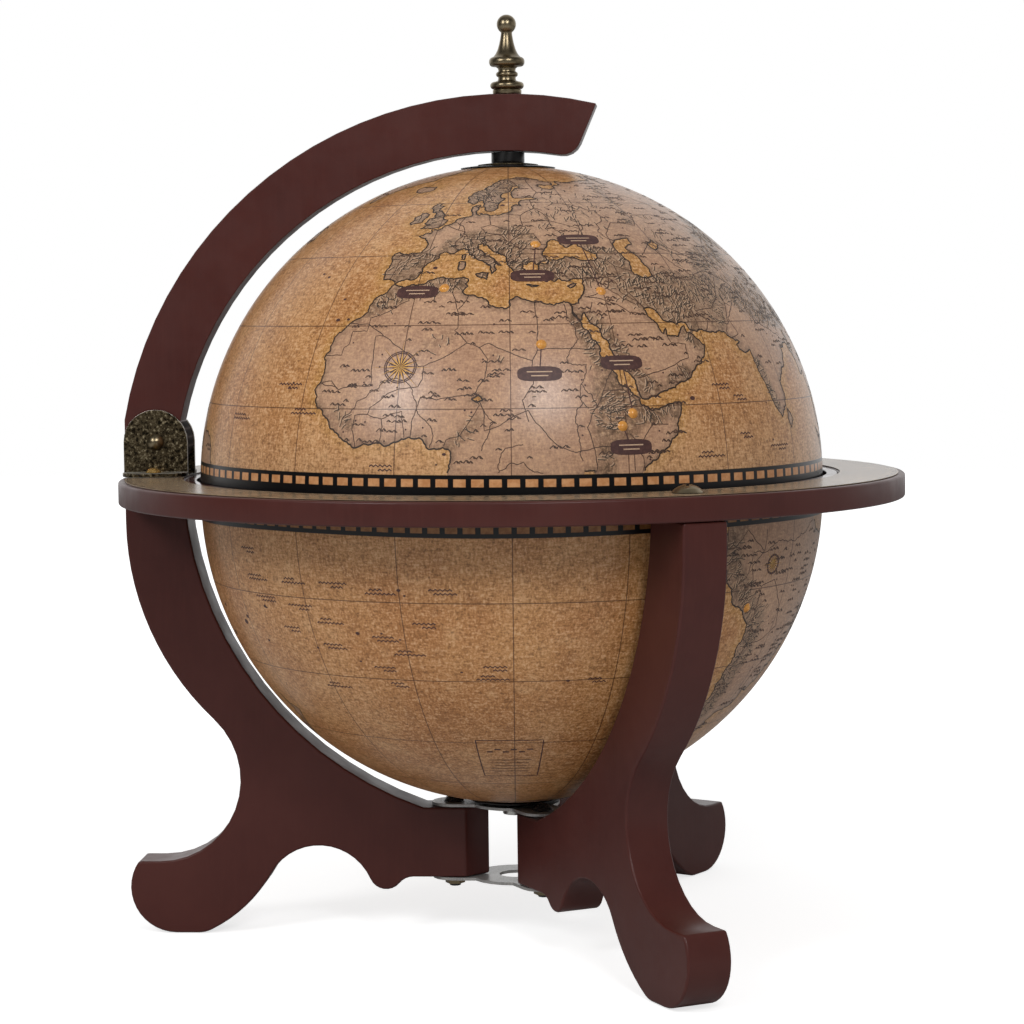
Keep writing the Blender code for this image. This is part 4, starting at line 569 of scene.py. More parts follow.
def ring_paint(name):
    """Printed sheet on the horizon ring: border lines, a degree scale and a mottled field, varnished."""
    p = Paint(name, Roughness=0.24, Specular_IOR_Level=0.28)
    x, y = p.axes()[:2]
    radius = p.times(p.math("SQRT", p.math("ADD", p.times(x, x), p.times(y, y))), 1 / mm)
    turn = p.math("MULTIPLY_ADD", p.math("ARCTAN2", y, x), 0.5 / pi, 0.5)
    paper = aged_colour(p, srgb(138, 118, 94), srgb(164, 142, 116), srgb(112, 92, 70), 40.0)
    paper = p.mix(p.fade(p.noise(700.0, 4.0, 0.7), 0.42, 0.3, 0.0, 0.5), paper, srgb(86, 66, 48))
    marks = []
    # Border lines: radius and half width in mm
    for at, half_width in ((176.2, 0.16), (183.4, 0.16), (196.5, 0.16), (203.2, 0.3)):
        off = p.math("ABSOLUTE", p.math("SUBTRACT", radius, at))
        marks.append(p.fade(off, half_width + 0.12, half_width - 0.08))
    # Rows of ticks: count, inked share, inner and outer radius
    for count, share, low, high in ((72.0, 0.5, 201.0, 202.4), (360.0, 0.2, 196.5, 199.0),
                                    (12.0, 0.006, 183.4, 196.5), (144.0, 0.22, 177.5, 182.4)):
        step = p.math("FRACT", p.times(turn, count))
        tick = p.times(p.fade(step, 0.0, share * 0.1), p.fade(step, share, share * 0.9))
        marks.append(p.times(tick, p.between(radius, low, high, 0.1)))
    field = p.fade(p.noise(300.0, 4.0, 0.6, None, 1.2), 0.52, 0.6)
    marks.append(p.times(field, p.between(radius, 185.0, 195.0, 0.1), 0.6))
    p.set("Base Color", p.mix(p.times(p.most(*marks), 0.85), paper, srgb(52, 38, 28)))
    p.bump(p.noise(420.0, 3.0, 0.6), 0.05, 0.0002)
    return p.material


def hinge_place():
    """Middle of the hinge's round bracket in X and Z, and its radius."""
    low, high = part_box("bracket_near")
    reach = (high[0] - low[0]) / 2
    return (low[0] + reach, 0, high[2] - reach), reach


WOOD = (srgb(71, 34, 30), srgb(79, 40, 35), srgb(60, 28, 24))
STAINED_WOOD = wood_paint("stained_wood_look", *WOOD)
COLLAR_WOOD = wood_paint("collar_wood_look", *WOOD, roughness=0.16)
# The arm's wood takes a black painted shade round the hinge
ARM_WOOD = wood_paint("arm_wood_look", *WOOD, hinge=hinge_place())
AGED_BRASS = brass_paint("antique_brass_look", 1.0)
POLISHED = brass_paint("polished_brass_look", 0.1)
BRIGHT_BRASS = steel_paint("bright_brass_look", srgb(206, 170, 104), 0.9, 0.24)
# Pale paint for the brackets' eased rims: a painted highlight where their edges catch the light
RIM_HIGHLIGHT = steel_paint("rim_painted_highlight_look", srgb(244, 232, 214), 0.3, 0.35)
# Hub plates: steel whose grey is lighter than the dark plates' own, partly as painted reflection
PLATE_STEEL = steel_paint("plate_steel_look", srgb(150, 149, 147), 0.55, 0.36)
BLACK_EDGE = black_paint("black_edge_look")
RING_PAPER = ring_paint("ring_paper_look")
LINING = lining_paint("lining_look")
COAST_INK = ink_paint("coast_ink", srgb(44, 29, 20), srgb(74, 52, 38))
LINE_INK = ink_paint("line_ink", srgb(66, 43, 31), srgb(106, 75, 55))
RELIEF_INK = ink_paint("relief_ink", srgb(52, 40, 30), srgb(84, 66, 50))
PALE_INK = ink_paint("pale_ink", srgb(186, 154, 126), srgb(168, 136, 110))
MARK_INK = ink_paint("mark_ink", srgb(68, 38, 34), srgb(88, 54, 46))
GOLD_INK = ink_paint("gold_ink", srgb(200, 146, 58), srgb(226, 180, 96))
PIN_INK = ink_paint("pin_ink", srgb(200, 134, 56), srgb(220, 160, 82), 0.28)

# Finish of each record slot, and of nodes that differ from their slot's
SLOT_PAINTS = {
    "stained_wood": STAINED_WOOD, "antique_brass": POLISHED, "black_edge": BLACK_EDGE,
    "ring_paper": RING_PAPER,
    "tray_wood": wood_paint("tray_wood_look", srgb(92, 56, 40), srgb(116, 74, 52), srgb(66, 38, 28), 0.42),
    "black_steel": steel_paint("black_steel_look", srgb(30, 29, 30), 0.0, 0.26),
    "zinc_steel": steel_paint("zinc_steel_look", srgb(176, 176, 172), 1.0, 0.34),
}
NODE_PAINTS = {
    "meridian_arm": ARM_WOOD, "hub_top_plate": PLATE_STEEL, "hub_bottom_plate": PLATE_STEEL,
    "hub_nut_left": POLISHED, "hub_nut_front": POLISHED, "hub_nut_back": POLISHED,
    "bracket_near": AGED_BRASS, "bracket_far": AGED_BRASS, "pole_washer": AGED_BRASS,
    "bracket_screw_near": BRIGHT_BRASS, "bracket_screw_far": BRIGHT_BRASS,
}
# Printed lines: width and height above the globe, and ink
LINE_WORK = {
    "coasts": (0.0008, 0.00004, COAST_INK), "lines": (0.00046, 0.00003, LINE_INK),
    "hachures": (0.00042, 0.00003, RELIEF_INK), "lights": (0.0004, 0.00002, PALE_INK),
    "sketches": (0.00054, 0.00004, LINE_INK), "ripples": (0.00072, 0.00004, MARK_INK),
    "bars": (0.0005, 0.00005, LINE_INK), "rules": (0.0006, 0.00005, MARK_INK),
    "frames": (0.0006, 0.0001, PALE_INK),
}
# Printed shapes: height above the globe, rise of the middle, and ink
PATCH_WORK = {
    "marks": (0.00006, 0.0, MARK_INK), "pins": (0.00008, 0.0013, PIN_INK), "golds": (0.00006, 0.0, GOLD_INK),
    "plaques": (0.00007, 0.0, MARK_INK),
}
# Halves: z of the centre, way up, longitude that faces the camera; the band's edges in mm, the phase of
# its squares, its wave (size in mm, count, shift, lift) and colours, the lower half's darkened as painted
# shadow of the ring; how much the sea is lightened towards the equator as painted light from the ring;
# random seed and number of drawn hills
HALVES = {
    "upper": {"z": 0.2446834, "up": 1, "facing": 20.0, "band": (5.65, 9.4, 11.35), "phase": 0.25,
              "wave": (0.9, 1, -pi / 2, 0.0), "squares": (srgb(186, 128, 80), srgb(208, 154, 106)),
              "pale": 0.45, "seed": 5, "hills": 580},
    # The lower half's darker band squares are painted shadow of the ring
    "lower": {"z": 0.2368834, "up": -1, "facing": -120.0, "band": (5.2, 8.8, 11.0), "phase": 0.757,
              "wave": (-0.6, 4, 0.0, 0.6), "squares": (srgb(124, 80, 42), srgb(150, 104, 62)),
              "pale": 0.0, "seed": 9, "hills": 280},
}


def course(written):
    """Points from text such as "10 37.3,11 36.9"."""
    return [tuple(float(v) for v in point.split()) for point in written.split(",")]


def courses(written):
    return [course(line) for line in written.split(";")]


def ranges():
    """Each highland's half width, strength and course."""
    rows = []
    for row in RANGES.split(";"):
        size, line = row.split(":")
        rows.append((*course(size)[0], course(line)))
    return rows


def uneven(points, rng, roughness, finest):
    """Breaks straight stretches into finer, uneven ones, as a drawn coast has."""
    out = []
    for first, last in zip(points, points[1:]):
        stack = [(first, last)]
        while stack:
            a, b = stack.pop()
            narrow = max(cos(radians((a[1] + b[1]) / 2)), 0.15)
            dx, dy = (b[0] - a[0]) * narrow, b[1] - a[1]
            if hypot(dx, dy) < finest:
                out.append(a)
                continue
            shift = rng.uniform(-roughness, roughness)
            middle = ((a[0] + b[0]) / 2 - dy * shift / narrow, (a[1] + b[1]) / 2 + dx * shift)
            stack += [(middle, b), (a, middle)]
    return out + [points[-1]]


def coast_lines():
    """Every shore as a closed, finely broken line."""
    rng = random.Random(11)
    shores = []
    for written in COASTS.split(";"):
        points = course(written.split(":")[1])
        wander = COAST_WANDER if len(points) > ISLE_POINTS else ISLE_WANDER
        shores.append(uneven(points + points[:1], rng, *wander))
    return shores


HIGHLANDS = ranges()
SHORES = coast_lines()
SHORE_STARTS = np.concatenate([np.array(s[:-1]) for s in SHORES])
SHORE_ENDS = np.concatenate([np.array(s[1:]) for s in SHORES])


def land_rows(lats, lons):
    """True where a map place is on land; each row shares a latitude."""
    a, b = SHORE_STARTS, SHORE_ENDS
    inside = np.zeros((len(lats), len(lons)), bool)
    for i, lat in enumerate(lats):
        hit = (a[:, 1] > lat) != (b[:, 1] > lat)
        p, q = a[hit], b[hit]
        at = np.sort(p[:, 0] + (lat - p[:, 1]) * (q[:, 0] - p[:, 0]) / (q[:, 1] - p[:, 1]))
        for turn in (-360, 0, 360):
            inside[i] ^= np.searchsorted(at, lons + turn) % 2 == 1
    return inside


def on_land(place):
    return land_rows([place[1]], np.array([place[0]]))[0, 0]


def add_piece(name, verts, faces, material, body, replaced=()):
    mesh = bpy.data.meshes.new(name)
    mesh.from_pydata([tuple(v) for v in verts], [], faces)
    mesh.materials.append(material)
    mesh.shade_smooth()
    made = bpy.data.objects.new(name, mesh)
    bpy.context.scene.collection.objects.link(made)
    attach(made, body)
    if replaced:
        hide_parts(*replaced)
    return mesh


def direction(lon, lat, half):
    """Point of the map as a unit direction from the half's centre."""
    height = np.radians(half["up"] * BAND + np.asarray(lat) * (90 - BAND) / 90)
    turn = FACING + np.radians(np.asarray(lon) - half["facing"])
    return np.stack([np.cos(height) * np.cos(turn), np.cos(height) * np.sin(turn), np.sin(height)], axis=-1)


def shell_profile(name, heights):
    """Radius and height of a shell's rows, from its edge over the outside to the pole and back inside."""
    profile = [(GLOBE_R, -SKIRT)] + [(GLOBE_R * cos(t), GLOBE_R * sin(t)) for t in heights]
    flat = GLOBE_R * sin(POLE)
    profile += [(PIN_HOLE_R[name], flat), (PIN_HOLE_R[name], flat - WALL)]
    inside_r = GLOBE_R - WALL
    steep = asin((flat - WALL) / inside_r)
    for i in range(INSIDE_ROWS + 1):
        t = steep * (1 - i / INSIDE_ROWS)
        profile.append((inside_r * cos(t), inside_r * sin(t)))
    return np.array(profile + [(inside_r, -SKIRT)])


def globe_half(name):
    """One half's shell with its map, lining and black edge."""
    half = HALVES[name]
    up = half["up"]
    heights = [POLE * i / (ROWS - 1) for i in range(ROWS)]
    rows = shell_profile(name, heights)
    count = len(rows)
    turns = FACING + 2 * pi * np.arange(COLUMNS) / COLUMNS
    verts = np.stack([rows[:, :1] * np.cos(turns), rows[:, :1] * np.sin(turns),
                      np.repeat(half["z"] + up * rows[:, 1:], COLUMNS, axis=1)], axis=-1).reshape(-1, 3)
    row_of = np.repeat(np.arange(count), COLUMNS)
    col_of = np.tile(np.arange(COLUMNS), count)
    next_row = (row_of + 1) % count
    next_col = (col_of + 1) % COLUMNS
    faces = np.stack([row_of * COLUMNS + col_of, row_of * COLUMNS + next_col, next_row * COLUMNS + next_col,
                      next_row * COLUMNS + col_of], axis=1)
    # Share of the way round and of the way to the pole, at each face corner
    lat_share = np.ones(count)
    lat_share[:ROWS + 1] = np.array([-SKIRT / GLOBE_R] + heights) / (pi / 2)
    grid = np.stack([np.stack([col_of, col_of + 1, col_of + 1, col_of], axis=1) / COLUMNS,
                     np.stack([lat_share[row_of]] * 2 + [lat_share[next_row]] * 2, axis=1)], axis=-1)
    if up < 0:
        faces, grid = faces[:, ::-1], grid[:, ::-1]
    paper = map_paint("map_%s_look" % name, half)
    mesh = add_piece("globe_" + name, verts, faces.tolist(), paper, name + "_globe",
                     [name + "_shell"])
    mesh.materials.append(LINING)
    mesh.materials.append(BLACK_EDGE)
    kinds = np.zeros(len(faces), np.int32)
    kinds[(ROWS + 2) * COLUMNS:] = 1
    kinds[(count - 1) * COLUMNS:] = 2
    mesh.polygons.foreach_set("material_index", kinds)
    mesh.uv_layers.new(name="grid").data.foreach_set("uv", grid.astype(np.float32).ravel())
    paint_places(mesh, half, verts, heights)


def paint_places(mesh, half, verts, heights):
    """Stores for each vertex how far inland it is, in metres, and how mountainous."""
    up = half["up"]
    lats = (np.degrees(heights) * up - up * BAND) * 90 / (90 - BAND)
    lons = half["facing"] + 360 * np.arange(COLUMNS) / COLUMNS
    inside = land_rows(lats, (lons + 180) % 360 - 180).ravel()
    shore = np.concatenate([direction(*np.array(s).T, half) for s in SHORES])
    tree = kdtree.KDTree(len(shore))
    for i, point in enumerate(shore):
        tree.insert(point, i)
    tree.balance()
    land = np.full(len(verts), -1.0, np.float32)
    relief = np.zeros(len(verts), np.float32)
    shown = slice(COLUMNS, COLUMNS * (len(heights) + 1))
    places = (verts[shown] - (0, 0, half["z"])) / GLOBE_R
    far = np.array([tree.find(p)[2] for p in places]) * GLOBE_R
    land[shown] = np.where(inside, far, -far)
    high = np.zeros(len(places))
    for width, strength, line in HIGHLANDS:
        dense = np.concatenate([np.linspace(a, b, 12) for a, b in zip(line, line[1:] or line)])
        nearest = (places @ direction(*dense.T, half).T).max(axis=1)
        off = np.degrees(np.arccos(np.clip(nearest, -1, 1))) / width
        high = np.maximum(high, strength * np.clip(1.5 - off, 0, 1))
    relief[shown] = np.where(inside, high, 0)
    for key, values in (("land", land), ("relief", relief)):
        mesh.attributes.new(key, "FLOAT", "POINT").data.foreach_set("value", values)


def printed_lines(kind, lines, name):
    """Thin printed lines as strips that lie on a half of the globe."""
    half = HALVES[name]
    width, lift, ink = LINE_WORK[kind]
    verts, faces = [], []
    lowest = sin(radians(BAND - 0.1))
    for line in lines:
        points = direction(*np.array(line).T, half)
        keep = points[:, 2] * half["up"] > lowest
        ahead = np.roll(points, -1, axis=0) - np.roll(points, 1, axis=0)
        ahead[0], ahead[-1] = points[1] - points[0], points[-1] - points[-2]
        side = np.cross(ahead, points)
        side /= np.linalg.norm(side, axis=1, keepdims=True) + 1e-12
        base = len(verts)
        middle = points * (GLOBE_R + lift) + (0, 0, half["z"])
        verts += list(np.stack([middle + side * width / 2, middle - side * width / 2], axis=1).reshape(-1, 3))
        for i in range(len(points) - 1):
            if keep[i] and keep[i + 1]:
                k = base + 2 * i
                faces.append((k, k + 2, k + 3, k + 1))
    used = sorted({v for f in faces for v in f})
    place = {v: i for i, v in enumerate(used)}
    add_piece(kind + "_" + name, [verts[v] for v in used], [tuple(place[v] for v in f) for f in faces], ink,
              name + "_globe")


def patches(kind, shapes, name):
    """Printed shapes on the globe: each has a map place and an outline in metres east and north of it."""
    half = HALVES[name]
    lift, dome, ink = PATCH_WORK[kind]
    verts, faces = [], []
    shares = (0.25, 0.5, 0.75, 1.0)
    for (lon, lat), outline in shapes:
        centre = direction(lon, lat, half)
        east = np.cross((0, 0, 1), centre)
        east /= np.linalg.norm(east)
        north = np.cross(centre, east)
        edge = np.array(outline)
        middle = edge.mean(axis=0)
        flat = np.concatenate([[middle]] + [middle + (edge - middle) * share for share in shares])
        rise = np.concatenate([[dome]] + [np.full(len(edge), dome * (1 - share ** 2)) for share in shares])
        spots = centre * GLOBE_R + flat[:, :1] * east + flat[:, 1:] * north
        spots /= np.linalg.norm(spots, axis=1, keepdims=True)
        base, count = len(verts), len(edge)
        verts += list(spots * (GLOBE_R + lift + rise)[:, None] + (0, 0, half["z"]))
        for i in range(count):
            j = (i + 1) % count
            faces.append((base, base + 1 + i, base + 1 + j))
            for k in range(base + 1, base + 1 + (len(shares) - 1) * count, count):
                faces.append((k + i, k + count + i, k + count + j, k + j))
    add_piece(kind + "_" + name, verts, faces, ink, name + "_globe")


def oval(width, height, power=2.0, steps=28):
    """Outline; a power above 2 makes it squarer."""
    out = []
    for i in range(steps):
        x, y = cos(2 * pi * i / steps), sin(2 * pi * i / steps)
        size = (abs(x) ** power + abs(y) ** power) ** (-1 / power)
        out.append((width / 2 * x * size, height / 2 * y * size))
    return out


def rose(radius):
    """Star points of a wind rose, as left halves and right halves."""
    lefts, rights = [], []
    for i in range(ROSE_POINTS):
        reach = radius * (1.0 if i % 2 == 0 else ROSE_SHORT)
        t = 2 * pi * i / ROSE_POINTS
        tip = (reach * sin(t), reach * cos(t))
        for turn, found in ((-pi / ROSE_POINTS, lefts), (pi / ROSE_POINTS, rights)):
            root = (radius * ROSE_ROOT * sin(t + turn), radius * ROSE_ROOT * cos(t + turn))
            found.append([(0, 0), tip, root] if turn < 0 else [(0, 0), root, tip])
    return lefts, rights


def land_places(rng, count, up):
    """Places spread at random over one half's land."""
    places = []
    while len(places) < count:
        place = rng.uniform(-180, 180), up * degrees(asin(rng.uniform(0.03, 0.95)))
        if on_land(place):
            places.append(place)
    return places


def sketch(place, marks):
    """Marks in metres east and north of a place, as a line of longitudes and latitudes."""
    narrow = cos(radians(place[1]))
    return [(place[0] + degrees(x / GLOBE_R) / narrow, place[1] + degrees(y / GLOBE_R)) for x, y in marks]


def hills(rng, place):
    """Row of small drawn hills, each hatched on its shaded side."""
    slope = ((0, 0), (0.2, 0.5), (0.42, 0.97), (0.6, 0.85), (0.8, 0.35), (1, 0.05))
    hatches = (((0.5, 0.75), (0.62, 0.1)), ((0.66, 0.6), (0.76, 0.05)))
    lines = []
    at = -0.0015
    for _ in range(rng.choice((1, 2, 2, 3, 4))):
        width, height = rng.uniform(*HILL_WIDTH), rng.uniform(*HILL_HEIGHT)
        at += width * 0.9
        foot = rng.uniform(-HILL_FOOT, HILL_FOOT)
        for line in (slope, *hatches):
            lines.append(sketch(place, [(at + width * (x - 0.5), foot + height * y) for x, y in line]))
    return lines


def hachures(rng, up):
    """Short dark strokes down the sides of every range, and pale ones beside them."""
    darks, pales = [], []
    for width, strength, line in HIGHLANDS:
        for a, b in zip(line, line[1:] or line):
            narrow = cos(radians((a[1] + b[1]) / 2))
            ahead, rise = (b[0] - a[0]) * narrow, b[1] - a[1]
            heading = atan2(rise, ahead)
            for _ in range(int(STROKES * strength * width * max(hypot(ahead, rise), width))):
                along, off = rng.random(), rng.gauss(0, STROKE_SPREAD) * width
                place = (a[0] + (b[0] - a[0]) * along - sin(heading) * off / narrow,
                         a[1] + rise * along + cos(heading) * off)
                if place[1] * up < 1 or not on_land(place):
                    continue
                slant = heading + pi / 2 + rng.uniform(-0.8, 0.8)
                reach, bend = rng.uniform(*STROKE_REACH), rng.uniform(-STROKE_BEND, STROKE_BEND)
                x, y = cos(slant), sin(slant)
                marks = [(-reach * x, -reach * y), (-bend * y, bend * x), (reach * x, reach * y)]
                darks.append(sketch(place, marks))
                pales.append(sketch(place, [(u + LIGHT_SHIFT[0], v + LIGHT_SHIFT[1]) for u, v in marks]))
    return darks, pales


def ripple(rng, shift):
    """Short drawn wave; a shifted one stands below and to the right."""
    count = rng.choice((3, 5, 7))
    return [(WAVE_STEP[0] * (i - count + 2 * shift), WAVE_STEP[1] * (i % 2) - WAVE_DROP * shift)
            for i in range(2 * count + 1)]


def scale_bar():
    """Framed scale bar: its frame, rows of plain bars and small blocks."""
    west, east, north, south = SCALE_BOX
    frame_line = [(west, north), (east, north), (east, south), (west, south), (west, north)]
    step = (east - west) / 8
    blocks, bars = [], []
    for i in range(6):
        place = (west + step * (1.5 + i), (3 * north + south) / 4 + (0.4 if i % 2 else -0.4))
        blocks.append((place, oval(*SCALE_BLOCK)))
    for i in range(5):
        level = (north + south) / 2 - (north - south) / 12 * i
        inset = step * (1.2 + 0.3 * (i % 3))
        bars.append([(west + inset, level), (east - inset, level)])
    return frame_line, blocks, bars


def map_ornaments(name):
    """Pins with plain plaques, wind roses, towns, hills and waves, and in the south a framed scale bar."""
    half = HALVES[name]
    rng = random.Random(half["seed"] + 1)
    pins, plaques, frames, rules, marks, golds, bars = [], [], [], [], [], [], []
    for plaque, pin in MARKERS[name]:
        pins.append((pin, oval(PIN_WIDTH, PIN_WIDTH)))
        if plaque:
            plaques.append((plaque, oval(*PLAQUE)))
            rules.append([plaque, pin])
            for reach, level in PLAQUE_RULES:
                frames.append(sketch(plaque, [(reach * i / 4, level) for i in range(-4, 5)]))
    for place, radius in ROSES[name]:
        lefts, rights = rose(radius)
        marks += [(place, o) for o in lefts]
        golds += [(place, o) for o in rights]
        narrow = cos(radians(place[1]))
        for share in ROSE_CIRCLES:
            size = degrees(radius * share / GLOBE_R)
            rules.append([(place[0] + size * sin(t) / narrow, place[1] + size * cos(t))
                          for t in arcs(0, 2 * pi, 40)])
    town = oval(TOWN_WIDTH, TOWN_WIDTH, steps=8)
    marks += [(place, town) for place in land_places(rng, TOWNS, half["up"])]
    marks += [((lon, lat), oval(size * mm, 0.7 * size * mm, steps=12)) for lon, lat, size in course(ISLANDS)
              if lat * half["up"] > 1]
    hill_places = land_places(rng, half["hills"], half["up"])
    sketches = [line for place in hill_places for line in hills(rng, place)]
    darks, pales = hachures(rng, half["up"])
    ripples = [sketch(place, ripple(rng, shift)) for place in course(RIPPLES[name]) for shift in (0, 1)]
    if name == "lower":
        frame_line, blocks, bars = scale_bar()
        rules.append(frame_line)
        marks += blocks
    for kind, lines in (("hachures", darks), ("lights", pales), ("sketches", sketches), ("ripples", ripples)):
        printed_lines(kind, lines, name)
    for kind, lines in (("bars", bars), ("rules", rules)):
        if lines:
            printed_lines(kind, [uneven(line, rng, *STRAIGHT) for line in lines], name)
    for kind, shapes in (("marks", marks), ("pins", pins), ("golds", golds), ("plaques", plaques)):
        patches(kind, shapes, name)
    printed_lines("frames", frames, name)


def map_lines(name):
    """Coasts, rivers and borders."""
    rng = random.Random(HALVES[name]["seed"])
    printed_lines("coasts", SHORES, name)
    drawn = [uneven(line, rng, *RIVER_WANDER) for line in courses(RIVERS)]
    drawn += [uneven(line, rng, *BORDER_WANDER) for line in courses(BORDERS)]
    printed_lines("lines", drawn, name)


def arcs(start, end, steps=10):
    return [start + (end - start) * i / steps for i in range(steps + 1)]


def turned(name, profile, steps, material, body, node, closed=True):
    """Spins a profile of radius and height about Z, in place of a node."""
    rows = len(profile)
    turns = [2 * pi * i / steps for i in range(steps)]
    verts = [(r * cos(t), r * sin(t), z) for t in turns for r, z in profile]
    faces = []
    for i in range(steps):
        j = (i + 1) % steps
        for k in range(rows if closed else rows - 1):
            m = (k + 1) % rows
            faces.append((i * rows + k, j * rows + k, j * rows + m, i * rows + m))
    add_piece(name, verts, faces, material, body, [node]).set_sharp_from_angle(angle=radians(35))


def rounded(corners, radius, steps=5):
    """Outline with each corner rounded."""
    out = []
    count = len(corners)
    for i, corner in enumerate(corners):
        here = Vector(corner)
        back = (Vector(corners[i - 1]) - here).normalized()
        on = (Vector(corners[(i + 1) % count]) - here).normalized()
        centre = here + back * radius + on * radius
        for t in arcs(0, pi / 2, steps):
            out.append(tuple(centre - on * radius * cos(t) - back * radius * sin(t)))
    return out


# Ring, its printed sheet and its collar: piece, node, inner radius, outer one where it isn't the CAD box's,
# easing of the corners, finish and slot
HOOPS = (
    ("ring_wood", "horizon_ring", 0.173, None, 0.0012, STAINED_WOOD, "stained_wood"),
    ("ring_sheet", "ring_print", 0.174, None, None, RING_PAPER, "ring_paper"),
    ("collar_wood", "ring_collar", 0.167, 0.1727, 0.0005, COLLAR_WOOD, "stained_wood"),
)
HOOP_STEPS = 240


def hoop(name, node, inner, outer, easing, material, slot):
    """Flat hoop of the ring; its corners are rounded where an easing is given."""
    low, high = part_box(node)
    outer = outer or high[0]
    corners = [(inner, low[2]), (outer, low[2]), (outer, high[2]), (inner, high[2])]
    outline = rounded(corners, easing) if easing else corners
    turned(name, outline, HOOP_STEPS, material, "stand", node)


def finial():
    """Finial turned finely: base ring, bead, ringed neck, flared bell, slender stem and ball."""
    low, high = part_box("finial")
    base, ball = low[2], 0.0051
    profile = [(0.0033, 0.0), (0.0074, 0.0), (0.0076, 0.0005), (0.0076, 0.0020), (0.0070, 0.0024)]
    profile += [(0.0070 + 0.0019 * sin(t), 0.0044 - 0.0019 * cos(t)) for t in arcs(0.1 * pi, 0.9 * pi)]
    profile += [(0.0060, 0.0066), (0.0049, 0.0071), (0.0046, 0.0080), (0.0047, 0.0088)]
    profile += [(0.0047 + 0.0011 * sin(t), 0.0103 - 0.0013 * cos(t)) for t in arcs(0, pi)]
    profile += [(0.0045, 0.0122), (0.0048, 0.0134), (0.0060, 0.0144)]
    profile += [(0.0076 + 0.0018 * sin(t), 0.0168 - 0.0024 * cos(t)) for t in arcs(0.1 * pi, 0.85 * pi)]
    profile += [(0.0071, 0.0195), (0.0058, 0.0211), (0.0048, 0.0232), (0.0040, 0.0258), (0.0034, 0.0285)]
    profile += [(0.0029, 0.0318)]
    middle = high[2] - base - ball
    profile += [(max(ball * sin(t), 0.0), middle - ball * cos(t)) for t in arcs(0.2 * pi, pi)]
    profile = [(r, base + z) for r, z in profile]
    turned("finial_brass", profile, 64, POLISHED, "arm", "finial", closed=False)


def pole_disc():
    """Thin disc under the pole washer, bent down to the globe."""
    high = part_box("north_disc")[1]
    top, thick = high[2], 0.0004
    upper = [(0.0034, top), (0.0185, top), (high[0], top - 0.0009)]
    lower = [(r, z - thick) for r, z in reversed(upper)]
    turned("pole_disc", upper + lower, 96, BLACK_EDGE, "upper_globe", "north_disc")


# Width of eased edges by slot, on other slots and on the hinge brackets
EASED = {"stained_wood": 0.0009, "tray_wood": 0.001, "antique_brass": 0.0005}
EASED_OTHER = 0.0002
EASED_BRACKET = 0.0007


def dress_nodes():
    """Gives every CAD node its finish, smooth shading and eased edges."""
    slots = {s["node"]: s["material_slot"] for s in frame["record"]["subparts"]}
    for name, node in frame["nodes"].items():
        mesh = node.data
        mesh.materials.clear()
        bracket = name in ("bracket_near", "bracket_far")
        mesh.materials.append(NODE_PAINTS.get(name) or SLOT_PAINTS.get(slots[name], LINING))
        mesh.polygons.foreach_set("use_smooth", [True] * len(mesh.polygons))
        weld = node.modifiers.new("weld", "WELD")
        weld.merge_threshold = 0.00001
        ease = node.modifiers.new("ease", "BEVEL")
        ease.width = EASED_BRACKET if bracket else EASED.get(slots[name], EASED_OTHER)
        ease.segments = 3
        ease.limit_method = "ANGLE"
        ease.angle_limit = radians(40)
        # The brackets' eased rims get the pale paint, a painted highlight
        if bracket:
            mesh.materials.append(RIM_HIGHLIGHT)
            ease.material = 1
        even = node.modifiers.new("even", "WEIGHTED_NORMAL")
        even.keep_sharp = True


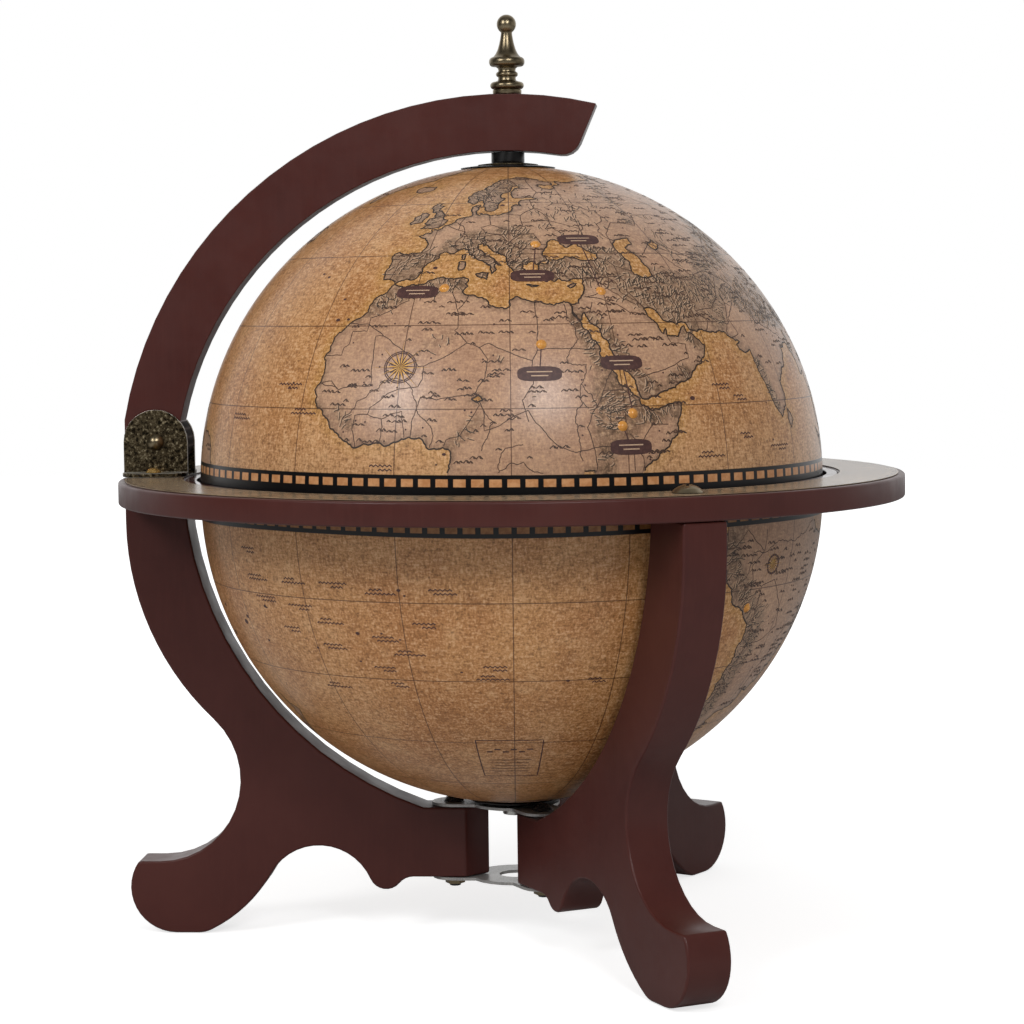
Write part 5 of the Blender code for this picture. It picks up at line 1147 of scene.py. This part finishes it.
class Studio:
    """White surround for what the camera sees and what shines, a dimmer room for soft light, and lamps."""
    ROOM = 0.40              # strength of the room's soft light
    DARK_SIDE = 0.05         # what shiny faces see on the camera's side of the room
    RIGHT_SIDE = 0.5         # and far to the right
    FLOOR_HALF = 4.0
    FLOOR_Z = -0.0004
    LAMPS = (                # name, width, watts, place, aim
        ("key_left", 0.45, 8.5, (-0.9, -1.13, 1.05), (0, 0, 0.26)),
        ("key_front", 0.45, 8.5, (0.42, -1.36, 1.1), (0, 0, 0.26)),
        ("top", 1.6, 1.5, (0.1, 0.1, 1.9), (0, 0, 0.2)),
    )
    FOCAL_LENGTH = 2776 / 1024           # of the image's width
    CAMERA_TURN = radians(4)             # about Z
    CAMERA_PLACE = (0, -1.4787, 0.3381)  # before the turn
    CAMERA_TILT = 0.0756                 # below the horizon
    CAMERA_PAN = -0.0116

    def __init__(self):
        self.surround()
        self.floor()
        for lamp in self.LAMPS:
            self.lamp(*lamp)
        self.camera()

    @staticmethod
    def place(name, data):
        made = bpy.data.objects.new(name, data)
        bpy.context.scene.collection.objects.link(made)
        return made

    def surround(self):
        world = bpy.data.worlds.new("studio")
        bpy.context.scene.world = world
        world.use_nodes = True
        t = Tree(world.node_tree)
        rays = t.node("LightPath").outputs
        to = t.node("SeparateXYZ", None, Vector=t.node("TexCoord").outputs["Generated"]).outputs
        behind = t.fade(to[1], 0.1, 0.75, self.DARK_SIDE, 1.0, "LINEAR")
        right = t.fade(to[0], 0.75, 0.98, 0.0, self.RIGHT_SIDE, "LINEAR")
        shine = t.times(t.most(behind, right), rays["Is Glossy Ray"])
        soft = t.times(rays["Is Diffuse Ray"], self.ROOM)
        clear = t.most(rays["Is Camera Ray"], rays["Is Transmission Ray"])
        background = t.tree.nodes["Background"].inputs
        t.feed(background["Strength"], t.most(clear, shine, soft))
        t.feed(background["Color"], (1, 1, 1, 1))

    def floor(self):
        half, z = self.FLOOR_HALF, self.FLOOR_Z
        mesh = bpy.data.meshes.new("floor")
        corners = [(-half, -half, z), (half, -half, z), (half, half, z), (-half, half, z)]
        mesh.from_pydata(corners, [], [(0, 1, 2, 3)])
        p = Paint("floor_look", Roughness=0.9, Specular_IOR_Level=0.0, Emission_Color=(1, 1, 1, 1))
        cloud = p.fade(p.noise(3.0), 0.3, 0.7)
        p.set("Base Color", p.mix(cloud, (0.62, 0.62, 0.62, 1), (0.64, 0.64, 0.64, 1)))
        far = p.node("VectorMath", {"operation": "LENGTH"}, Vector=p.position()).outputs["Value"]
        glow = p.fade(far, 0.3, 0.9, 0.72, 1.0)
        p.set("Emission Strength", p.times(p.node("LightPath").outputs["Is Camera Ray"], glow))
        mesh.materials.append(p.material)
        self.place("floor", mesh)

    def lamp(self, name, width, watts, at, aim):
        data = bpy.data.lights.new(name, "AREA")
        data.shape = "SQUARE"
        data.size = width
        data.energy = watts
        made = self.place(name, data)
        made.location = at
        made.rotation_euler = (Vector(aim) - Vector(at)).to_track_quat("-Z", "Y").to_euler()

    def camera(self):
        data = bpy.data.cameras.new("photo_view")
        data.sensor_width = 36.0
        data.lens = self.FOCAL_LENGTH * data.sensor_width
        made = self.place("photo_view", data)
        stand = Matrix.Rotation(self.CAMERA_TURN, 4, "Z") @ Matrix.Translation(self.CAMERA_PLACE)
        aim = Matrix.Rotation(pi / 2 - self.CAMERA_TILT, 4, "X") @ Matrix.Rotation(self.CAMERA_PAN, 4, "Z")
        made.matrix_world = stand @ aim
        bpy.context.scene.camera = made


for half_name in HALVES:
    globe_half(half_name)
    map_lines(half_name)
for half_name in HALVES:
    map_ornaments(half_name)
for row in HOOPS:
    hoop(*row)
finial()
pole_disc()
dress_nodes()
Studio()
bpy.context.scene.view_settings.view_transform = "Standard"
